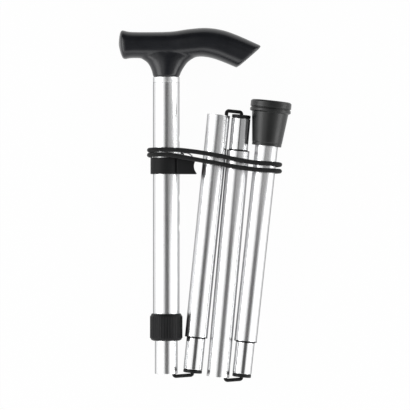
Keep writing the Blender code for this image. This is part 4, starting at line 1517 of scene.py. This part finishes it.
@dataclass(frozen=True)
class FoldingSection:
    """One of the three sections that fold: tube, spigot and the spigot's end plug."""

    number: int
    fold: Fold
    body: Body
    tube_end: float
    plug_edge: float = 0.0007
    spigot_roughness: tuple[float, float] = (0.15, 0.21)

    def build(self) -> None:
        """Builds the section's three pieces."""
        frame, toward = self.fold.frame(), heading(self.fold.angle)
        shoulder = self.fold.end + TUBES.spigot_out * toward + FOOT
        # The seam at the shoulder gets a painted shade band across the metal
        metal = DrawnAluminium(heading=self.fold.angle, shaded_seams=(shoulder.dot(toward),))
        outline = pipe(TUBES.tube_r, TUBES.tube_bore, TUBES.spigot_out, self.tube_end)
        tube = turned(f"tube_skin_{self.number}", eased(outline, TUBES.edge), frame, metal)
        carried(tube, self.body, Slot.ALUMINIUM, f"tube_{self.number}")
        outline = pipe(
            TUBES.spigot_r,
            TUBES.spigot_r - TUBES.spigot_wall,
            TUBES.plug_rim + GAPS.touch,
            TUBES.spigot_out + TUBES.spigot_in,
        )
        bright = replace(metal, roughness=self.spigot_roughness)
        spigot = turned(f"spigot_skin_{self.number}", eased(outline, TUBES.edge), frame, bright)
        carried(spigot, self.body, Slot.ALUMINIUM, f"spigot_{self.number}")
        insert_r = TUBES.spigot_r - TUBES.spigot_wall - GAPS.touch
        outline = [
            (TUBES.plug_hole_r, TUBES.plug_depth),
            (insert_r, TUBES.plug_depth),
            (insert_r, TUBES.plug_rim),
            (TUBES.spigot_r, TUBES.plug_rim),
            (TUBES.spigot_r, 0.0),
            (TUBES.plug_hole_r, 0.0),
        ]
        outline = eased(outline, self.plug_edge)
        plug = turned(f"plug_{self.number}", outline, frame, MouldedPlastic(), 72)
        carried(plug, self.body, Slot.PLASTIC, f"spigot_plug_{self.number}")


@dataclass(frozen=True)
class RubberTip:
    """The flared rubber tip on the last section, with its tread."""

    length: float = 0.0380
    flange_r: float = 0.0172
    flange: float = 0.0092
    shoulder_r: float = 0.0154
    neck_r: float = 0.0124
    edge: float = 0.0004
    tread: float = 0.0009
    treads: tuple[tuple[float, float], ...] = ((0.0040, 0.0072), (0.0104, 0.0142))
    tread_slope: float = 0.0006
    stud_count: int = 20
    stud_r: float = 0.0009
    stud_sink: float = 0.0002
    finish: Finish = TreadRubber()

    def build(self, frame: dict) -> None:
        """Builds the tip and its studs, and dresses what is inside."""
        end = SECTION_4_LENGTH
        bore = TUBES.tube_r + GAPS.touch
        rim, deep, slope = self.flange_r, self.tread, self.tread_slope
        # Radius and distance from the sole, from the middle outwards and up the side
        side = [(0.0, 0.0)]
        for inner, outer in self.treads:
            side += [(inner, 0.0), (inner + slope, deep), (outer - slope, deep), (outer, 0.0)]
        side += [
            (rim - 0.0012, 0.0),
            (rim, 0.0012),
            (rim, 0.0056),
            (rim - 0.0008, 0.0060),
            (rim - 0.0008, 0.0066),
            (rim, 0.0070),
            (rim, self.flange),
            (self.shoulder_r, self.flange + 0.0009),
            (self.neck_r + 0.0003, self.length - 0.0030),
            (self.neck_r, self.length - 0.0024),
            (self.neck_r + 0.0001, self.length - 0.0016),
            (self.neck_r, self.length),
            (bore, self.length),
            (bore, SOLE),
            (0.0, SOLE),
        ]
        outline = [(radius, end - height) for radius, height in side]
        axis = FOLD_3.frame()
        tip = turned("tip_rubber", eased(outline, self.edge), axis, self.finish, 128)
        carried(tip, Body.SECTION_4, Slot.RUBBER, "rubber_tip")
        middle = Matrix.Translation((0.0, 0.0, end - deep / 2 - self.stud_sink / 2))
        studs = rib_ring(
            "tip_studs",
            self.stud_count,
            sum(self.treads[-1]) / 2,
            (self.stud_r, deep + self.stud_sink),
            self.finish,
            axis @ middle,
        )
        carried(studs, Body.SECTION_4, Slot.RUBBER)
        dress_node(frame, "tip_washer", BrightSteel())
        dress_node(frame, "lower_cord_anchor", MouldedPlastic())


@dataclass(frozen=True)
class ElasticCord:
    """The elastic cord that runs through every section and shows at the three folds."""

    radius: float = 0.0015
    run_step: float = 0.0012
    knot_r: float = 0.0032
    knot_steps: int = 96
    bend_r: float = 0.0018
    bend_steps: int = 6
    bend_step: float = 0.0004
    bend_keep: float = 0.25
    drift: float = 0.0260
    tip_anchor: float = 0.0180
    finish: Finish = BraidedCord(yarns=10, pitch=1.2)

    @property
    def offset(self) -> float:
        """How far the cord lies from a tube's axis at the mouth that it leaves by."""
        return TUBES.tube_bore - self.radius - GAPS.fit

    def run(
        self,
        number: int,
        frame: Matrix,
        start: float,
        mouth: float,
        side: int,
        ends: tuple[float, float] = (0.0, 0.0),
    ) -> bpy.types.Object:
        """Makes the cord inside one section.

        Args:
            number: Number of the section.
            frame: The section's frame.
            start: Where the run starts along the frame's Z.
            mouth: Where it leaves the section.
            side: Which side of the mouth it lies on, or 0 for its middle.
            ends: How much longer it is at its start and its end, inside a knot.

        Returns:
            The piece.
        """
        offset = side * self.offset
        points = [
            (0.0, 0.0, start - ends[0]),
            (0.0, 0.0, start + (mouth - start) * 0.5),
            (0.0, 0.0, mouth - self.drift),
            (offset * 0.5, 0.0, mouth - self.drift * 0.5),
            (offset * 0.95, 0.0, mouth - self.drift * 0.1),
            (offset, 0.0, mouth - 2 * GAPS.touch + ends[1]),
        ]
        route = smooth_route([frame @ Vector(point) for point in points], self.run_step)
        return self.strand(f"elastic_run_{number}", route)

    def strand(self, name: str, route: Sequence[Vector]) -> bpy.types.Object:
        """Makes a stretch of the cord on a route."""
        return swept(name, route, round_section(self.radius), self.finish, 2 * self.radius)

    def bend(self, number: int, fold: Fold, elbow: Body) -> None:
        """Makes the stretch that crosses one open fold, riding on the fold's elbow."""
        outward, inward = heading(fold.parent_angle), heading(fold.angle)
        side = (fold.side - fold.side.dot(inward) * inward).normalized()
        start = fold.mouth + 1.5 * GAPS.touch * outward + self.offset * fold.side + FOOT
        end = fold.end - 1.5 * GAPS.touch * inward + FOOT
        lift = max(0.0, (end - start).dot(outward))
        into = 2 * GAPS.touch
        turns = (math.pi / 2 * i / self.bend_steps for i in range(self.bend_steps + 1))
        arc = [(self.bend_r * (1 - math.cos(t)), self.bend_r * math.sin(t)) for t in turns]
        points = [start - into * outward] + ([start] if lift else [])
        points += [start + across * fold.side + (lift + rise) * outward for across, rise in arc]
        points += [end - across * side - rise * inward for across, rise in reversed(arc)]
        even = evened([*points, end + into * inward], self.bend_r / self.bend_steps)
        bend = self.strand(f"elastic_bend_{number}", smooth_route(even, self.bend_step))
        carried(bend, elbow, Slot.CORD, f"cord_bend_{number}")
        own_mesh(bend)

    def knot(self, name: str, frame: Matrix, height: float, body: Body, node: str) -> None:
        """Ties the cord's end in a trefoil knot against its anchor."""
        scale = self.knot_r / 4
        route = []
        for i in range(self.knot_steps + 1):
            t = math.tau * i / self.knot_steps
            x, y = math.sin(t) + 2 * math.sin(2 * t), math.cos(t) - 2 * math.cos(2 * t)
            spot = Vector((x, y, -2.2 * math.sin(3 * t)))
            route.append(frame @ (scale * spot + Vector((0.0, 0.0, height))))
        knot = swept(name, route, round_section(scale), self.finish, 2 * self.radius)
        carried(knot, body, Slot.CORD, node)

    def build(self) -> None:
        """Builds the runs, the bends and the two knots."""
        reach = GAPS.touch + self.knot_r + 2 * GAPS.touch
        # Each run's frame, ends along it, side of its mouth, bodies, and the fold after it
        stretches = (
            (TUBE_AXIS, CORD_ANCHOR, TUBES.lower_end, 1, Body.LOWER, Body.ELBOW_1, FOLD_1),
            (FOLD_1.frame(), 0.0, SECTION_2_LENGTH, -1, Body.SECTION_2, Body.ELBOW_2, FOLD_2),
            (FOLD_2.frame(), 0.0, SECTION_3_LENGTH, 1, Body.SECTION_3, Body.ELBOW_3, FOLD_3),
        )
        for number, stretch in enumerate(stretches, 1):
            frame, low, mouth, side, section, elbow, _ = stretch
            ends = (reach if number == 1 else 0.0, 0.0)
            run = self.run(number, frame, low + GAPS.touch, mouth, side, ends)
            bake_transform(run)
            named(run, Slot.CORD, f"cord_run_{number}")
            LOG.info("%s bends between %s and %s", run.name, section.value, elbow.value)
        last_end = SECTION_4_LENGTH - self.tip_anchor
        last = self.run(4, FOLD_3.frame(), GAPS.touch, last_end, 0, (0.0, reach))
        carried(last, Body.SECTION_4, Slot.CORD, "cord_run_4")
        for number, (*_, elbow, fold) in enumerate(stretches, 1):
            self.bend(number, fold, elbow)
        height = CORD_ANCHOR - GAPS.touch - self.knot_r
        self.knot("upper_knot", TUBE_AXIS, height, Body.LOWER, "upper_cord_knot")
        height = last_end + GAPS.touch + self.knot_r
        self.knot("lower_knot", FOLD_3.frame(), height, Body.SECTION_4, "lower_cord_knot")


@dataclass(frozen=True)
class TubeClip:
    """The clip: a band round the handle's tube with a jaw for a folded tube and a lug."""

    voxel: float = 0.00036
    passes: int = 7
    finish: Finish = MouldedPlastic(roughness=(0.50, 0.62), gloss=0.16)

    def build(self, frame: dict) -> None:
        """Moulds the clip from a merged copy of its CAD solid."""
        shape = bmesh.new()
        shape.from_mesh(frame["nodes"]["tube_clip"].data)
        bmesh.ops.remove_doubles(shape, verts=shape.verts, dist=0.000002)
        clip = finished("clip_moulding", shape, self.finish)
        moulded(clip, self.voxel, self.passes)
        carried(clip, Body.CLIP, Slot.PLASTIC, "tube_clip")


@dataclass(frozen=True)
class SplitRing:
    """The split ring in the clip's lug: one flat wire wound nearly twice."""

    radius: float = 0.0074
    wire_r: float = 0.0006
    turns: float = 1.92
    hinge_x: float = 0.0087
    hinge_depth: float = 0.0711
    level: float = 0.0136
    tip_r: float = 0.0172
    half_flat: float = 0.48  # half sizes of the wire's section, as shares of wire_r
    half_wide: float = 0.95
    squareness: float = 0.6  # below 1, the section's corners fill out
    taper: float = 0.45  # share of its size that the wire keeps at its very ends
    first_turn: float = 0.1
    steps: int = 260
    sides: int = 12

    @property
    def tilt(self) -> float:
        """Angle at which the ring's far side rests just above the ground."""
        room = self.tip_r - GAPS.touch / 3 - self.wire_r - self.level
        return math.asin(room / (2 * self.radius))

    def centre(self) -> Matrix:
        """Returns the ring's frame."""
        hinge = Matrix.Translation(Vector((self.hinge_x, -self.hinge_depth, -self.level)) + FOOT)
        hung = hinge @ Matrix.Rotation(self.tilt, 4, "Y")
        return hung @ Matrix.Translation((self.radius, 0.0, 0.0))

    def section(self, start: float, rest: float) -> Outline:
        """Gives the flat wire's rounded section, eased at its two ends."""
        ease = min(1.0, self.taper + (1.0 - self.taper) * min(start, rest) / self.wire_r)
        flat, wide = self.half_flat * self.wire_r * ease, self.half_wide * self.wire_r * ease
        turns = (math.tau * k / self.sides for k in range(self.sides))
        corners = (squared(turn, self.squareness) for turn in turns)
        return [(flat * a, wide * b) for a, b in corners]

    def build(self) -> None:
        """Builds the ring on its own body."""
        frame = self.centre()
        half = 0.5 * self.wire_r
        route = []
        for i in range(self.steps + 1):
            # The wire climbs from its first turn to its second where the two would meet
            at = self.turns * i / self.steps
            share = min(1.0, max(0.0, (at - self.turns + 1.0) / (2.0 - self.turns)))
            climb = share * share * (3 - 2 * share)
            turn = math.tau * (at + self.first_turn)
            x, y = self.radius * math.cos(turn), self.radius * math.sin(turn)
            route.append(frame @ Vector((x, y, half * (2 * climb - 1))))
        normal = (frame.to_3x3() @ Vector((0.0, 0.0, 1.0))).normalized()
        ring = swept("ring_wire", route, self.section, BrightSteel(), 2 * self.wire_r, normal)
        carried(ring, Body.RING, Slot.STEEL, "split_ring")


@dataclass(frozen=True)
class Lanyard:
    """The wrist lanyard: small loop, short sleeve, connector, long sleeve and the wrist loop."""

    strand_r: float = 0.0019
    sleeve_r: float = 0.0023
    connector_r: float = 0.0017
    loop_r: float = 0.00055
    # Spacing of the points on each route
    strand_step: float = 0.0009
    sleeve_step: float = 0.0004
    connector_step: float = 0.0002
    loop_step: float = 0.0003
    # Ends of the sleeves and of the strand, and the connector's shape, from either of its ends
    sleeve_roll: float = 0.0007
    strand_dome: float = 0.0006
    collar_length: float = 0.0030
    waist: float = 0.78
    groove_at: float = 0.0015
    groove_half: float = 0.0002
    connector_edge: float = 0.0003
    bead_count: int = 5
    bead_wire: float = 0.0003
    bead_sink: float = 0.00025
    # Routes, from the handle tube's axis at the handle's lower edge
    loop: tuple[Point, ...] = (
        (0.0095, -0.0617, -0.0130),
        (0.0108, -0.0623, -0.0129),
        (0.0122, -0.0632, -0.0129),
        (0.0134, -0.0642, -0.0129),
        (0.0142, -0.0651, -0.0133),
        (0.0145, -0.0655, -0.0146),
        (0.0142, -0.0651, -0.0156),
        (0.0134, -0.0642, -0.0161),
        (0.0122, -0.0632, -0.0160),
        (0.0108, -0.0623, -0.0157),
        (0.0095, -0.0617, -0.0154),
    )
    short_sleeve: tuple[Point, ...] = (
        (0.0087, -0.0608, -0.0142),
        (0.0087, -0.0585, -0.0142),
        (0.0087, -0.0560, -0.0142),
        (0.0087, -0.0536, -0.0142),
    )
    connector: tuple[Point, ...] = (
        (0.0087, -0.0531, -0.0142),
        (0.0087, -0.0490, -0.0142),
        (0.0086, -0.0450, -0.0142),
    )
    long_sleeve: tuple[Point, ...] = (
        (0.0086, -0.0444, -0.0142),
        (0.0082, -0.0418, -0.0142),
        (0.0065, -0.0390, -0.0142),
        (0.0035, -0.0374, -0.0142),
        (0.0000, -0.0374, -0.0142),
        (-0.0032, -0.0390, -0.0142),
        (-0.0056, -0.0420, -0.0142),
        (-0.0072, -0.0460, -0.0142),
        (-0.0081, -0.0510, -0.0142),
        (-0.0086, -0.0560, -0.0142),
        (-0.0093, -0.0600, -0.0138),
        (-0.0107, -0.0628, -0.0119),
        (-0.0122, -0.0641, -0.0088),
    )
    upper_strand: tuple[Point, ...] = (
        (-0.0128, -0.0620, -0.0075),
        (-0.0141, -0.0618, -0.0030),
        (-0.0141, -0.0617, 0.0025),
        (-0.0124, -0.0616, 0.0070),
        (-0.0087, -0.0615, 0.0112),
        (-0.0040, -0.0614, 0.0138),
        (0.0030, -0.0615, 0.0145),
        (0.0120, -0.0619, 0.0144),
        (0.0220, -0.0630, 0.0143),
        (0.0280, -0.0638, 0.0138),
        (0.0330, -0.0646, 0.0129),
        (0.0400, -0.0658, 0.0122),
        (0.0470, -0.0671, 0.0119),
        (0.0590, -0.0697, 0.0119),
        (0.0720, -0.0720, 0.0120),
        (0.0830, -0.0729, 0.0120),
        (0.0904, -0.0734, 0.0099),
        (0.0947, -0.0738, 0.0047),
        (0.0956, -0.0740, -0.0012),
        (0.0929, -0.0742, -0.0084),
        (0.0870, -0.0744, -0.0120),
        (0.0820, -0.0746, -0.0124),
        (0.0788, -0.0747, -0.0124),
        (0.0769, -0.0754, -0.0124),
        (0.0761, -0.0771, -0.0124),
    )
    lower_strand: tuple[Point, ...] = (
        (0.0769, -0.0788, -0.0124),
        (0.0788, -0.0795, -0.0124),
        (0.0820, -0.0796, -0.0124),
        (0.0870, -0.0797, -0.0120),
        (0.0927, -0.0796, -0.0084),
        (0.0954, -0.0795, -0.0012),
        (0.0945, -0.0793, 0.0047),
        (0.0901, -0.0791, 0.0099),
        (0.0830, -0.0788, 0.0120),
        (0.0720, -0.0778, 0.0120),
        (0.0590, -0.0760, 0.0119),
        (0.0470, -0.0738, 0.0119),
        (0.0400, -0.0724, 0.0122),
        (0.0330, -0.0712, 0.0131),
        (0.0280, -0.0703, 0.0141),
        (0.0220, -0.0692, 0.0146),
        (0.0120, -0.0673, 0.0149),
        (0.0060, -0.0663, 0.0150),
        (0.0000, -0.0657, 0.0146),
        (-0.0050, -0.0656, 0.0135),
        (-0.0090, -0.0656, 0.0110),
        (-0.0125, -0.0657, 0.0068),
        (-0.0142, -0.0658, 0.0020),
        (-0.0141, -0.0660, -0.0032),
        (-0.0128, -0.0662, -0.0075),
    )
    thread: Finish = BraidedCord(yarns=6, pitch=1.0, yarn_depth=0.00008)
    braid: Finish = BraidedCord()
    rubber: Finish = TreadRubber(low=(0.006, 0.0062, 0.0064), high=(0.010, 0.0104, 0.0106))

    def route(self, points: Sequence[Point], spacing: float) -> list[Vector]:
        """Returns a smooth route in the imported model's coordinates."""
        return smooth_route([Vector(point) + FOOT for point in points], spacing)

    def sleeve(self, name: str, points: Sequence[Point], last_r: float) -> bpy.types.Object:
        """Makes a rubber sleeve that narrows towards its end and is rolled at both."""
        route = self.route(points, self.sleeve_step)
        whole = length_of(route)

        def section(start: float, rest: float) -> Outline:
            """Gives the sleeve's circle at one place."""
            reach = self.sleeve_r + (last_r - self.sleeve_r) * start / whole
            rolled = max(0.0, 1.0 - min(start, rest) / self.sleeve_roll)
            return circle(reach - 0.35 * self.sleeve_r * rolled**2, 24)

        return swept(name, route, section, self.rubber, 2 * self.sleeve_r)

    def barrel(self) -> bpy.types.Object:
        """Makes the steel connector: two collars with a waist between them."""
        route = self.route(self.connector, self.connector_step)

        def section(start: float, rest: float) -> Outline:
            """Gives the connector's circle at one place."""
            left = min(start, rest)
            share = self.waist if left > self.collar_length else 1.0
            share -= 0.12 * math.exp(-(((left - self.groove_at) / self.groove_half) ** 2))
            share -= 0.3 * max(0.0, 1.0 - left / self.connector_edge) ** 2
            return circle(share * self.connector_r, 28)

        return swept("lanyard_barrel", route, section, BrightSteel(), 2 * self.connector_r)

    def build(self) -> None:
        """Builds the lanyard and its wrist cord on the clip."""
        route = self.route(self.loop, self.loop_step)
        section = round_section(self.loop_r, 14)
        loop = swept("lanyard_thread", route, section, self.thread, 2 * self.loop_r)
        short = self.sleeve("sleeve_short", self.short_sleeve, self.connector_r)
        barrel = self.barrel()
        long = self.sleeve("sleeve_long", self.long_sleeve, self.sleeve_r)
        beads = bead_row(
            "sleeve_beads",
            self.route(self.short_sleeve, self.sleeve_step)[3:-3],
            self.bead_count,
            (self.sleeve_r - self.bead_sink, self.bead_wire),
            self.rubber,
        )
        pieces = (
            (loop, Slot.CORD, "lanyard_loop"),
            (short, Slot.RUBBER, "short_sleeve"),
            (barrel, Slot.STEEL, "lanyard_connector"),
            (long, Slot.RUBBER, "long_sleeve"),
        )
        for piece, slot, node in pieces:
            carried(piece, Body.CLIP, slot, node)
        carried(beads, Body.CLIP, Slot.RUBBER)
        route = self.route(self.upper_strand + self.lower_strand, self.strand_step)
        section = round_section(self.strand_r, dome=self.strand_dome)
        wrist = swept("wrist_cord", route, section, self.braid, 2 * self.strand_r)
        carried(wrist, Body.CLIP, Slot.CORD, "wrist_loop")


def main() -> None:
    """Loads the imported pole, dresses it and sets it in the studio."""
    logging.basicConfig(level=logging.INFO, format="%(name)s: %(message)s")
    for old in list(bpy.data.objects):
        bpy.data.objects.remove(old, do_unlink=True)
    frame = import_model()
    bpy.context.scene.view_settings.view_transform = "Standard"
    studio = Studio()
    studio.build_camera()
    Lanyard().build()
    ElasticCord().build()
    Grip().build()
    HeightTubes().build(frame)
    SnapButton().build()
    LockingCollar().build()
    FoldingSection(2, FOLD_1, Body.SECTION_2, SECTION_2_LENGTH).build()
    FoldingSection(3, FOLD_2, Body.SECTION_3, SECTION_3_LENGTH).build()
    FoldingSection(4, FOLD_3, Body.SECTION_4, LAST_TUBE_END).build()
    RubberTip().build(frame)
    TubeClip().build(frame)
    SplitRing().build()
    studio.build()
    bpy.context.view_layer.update()


if __name__ == "__main__":
    main()
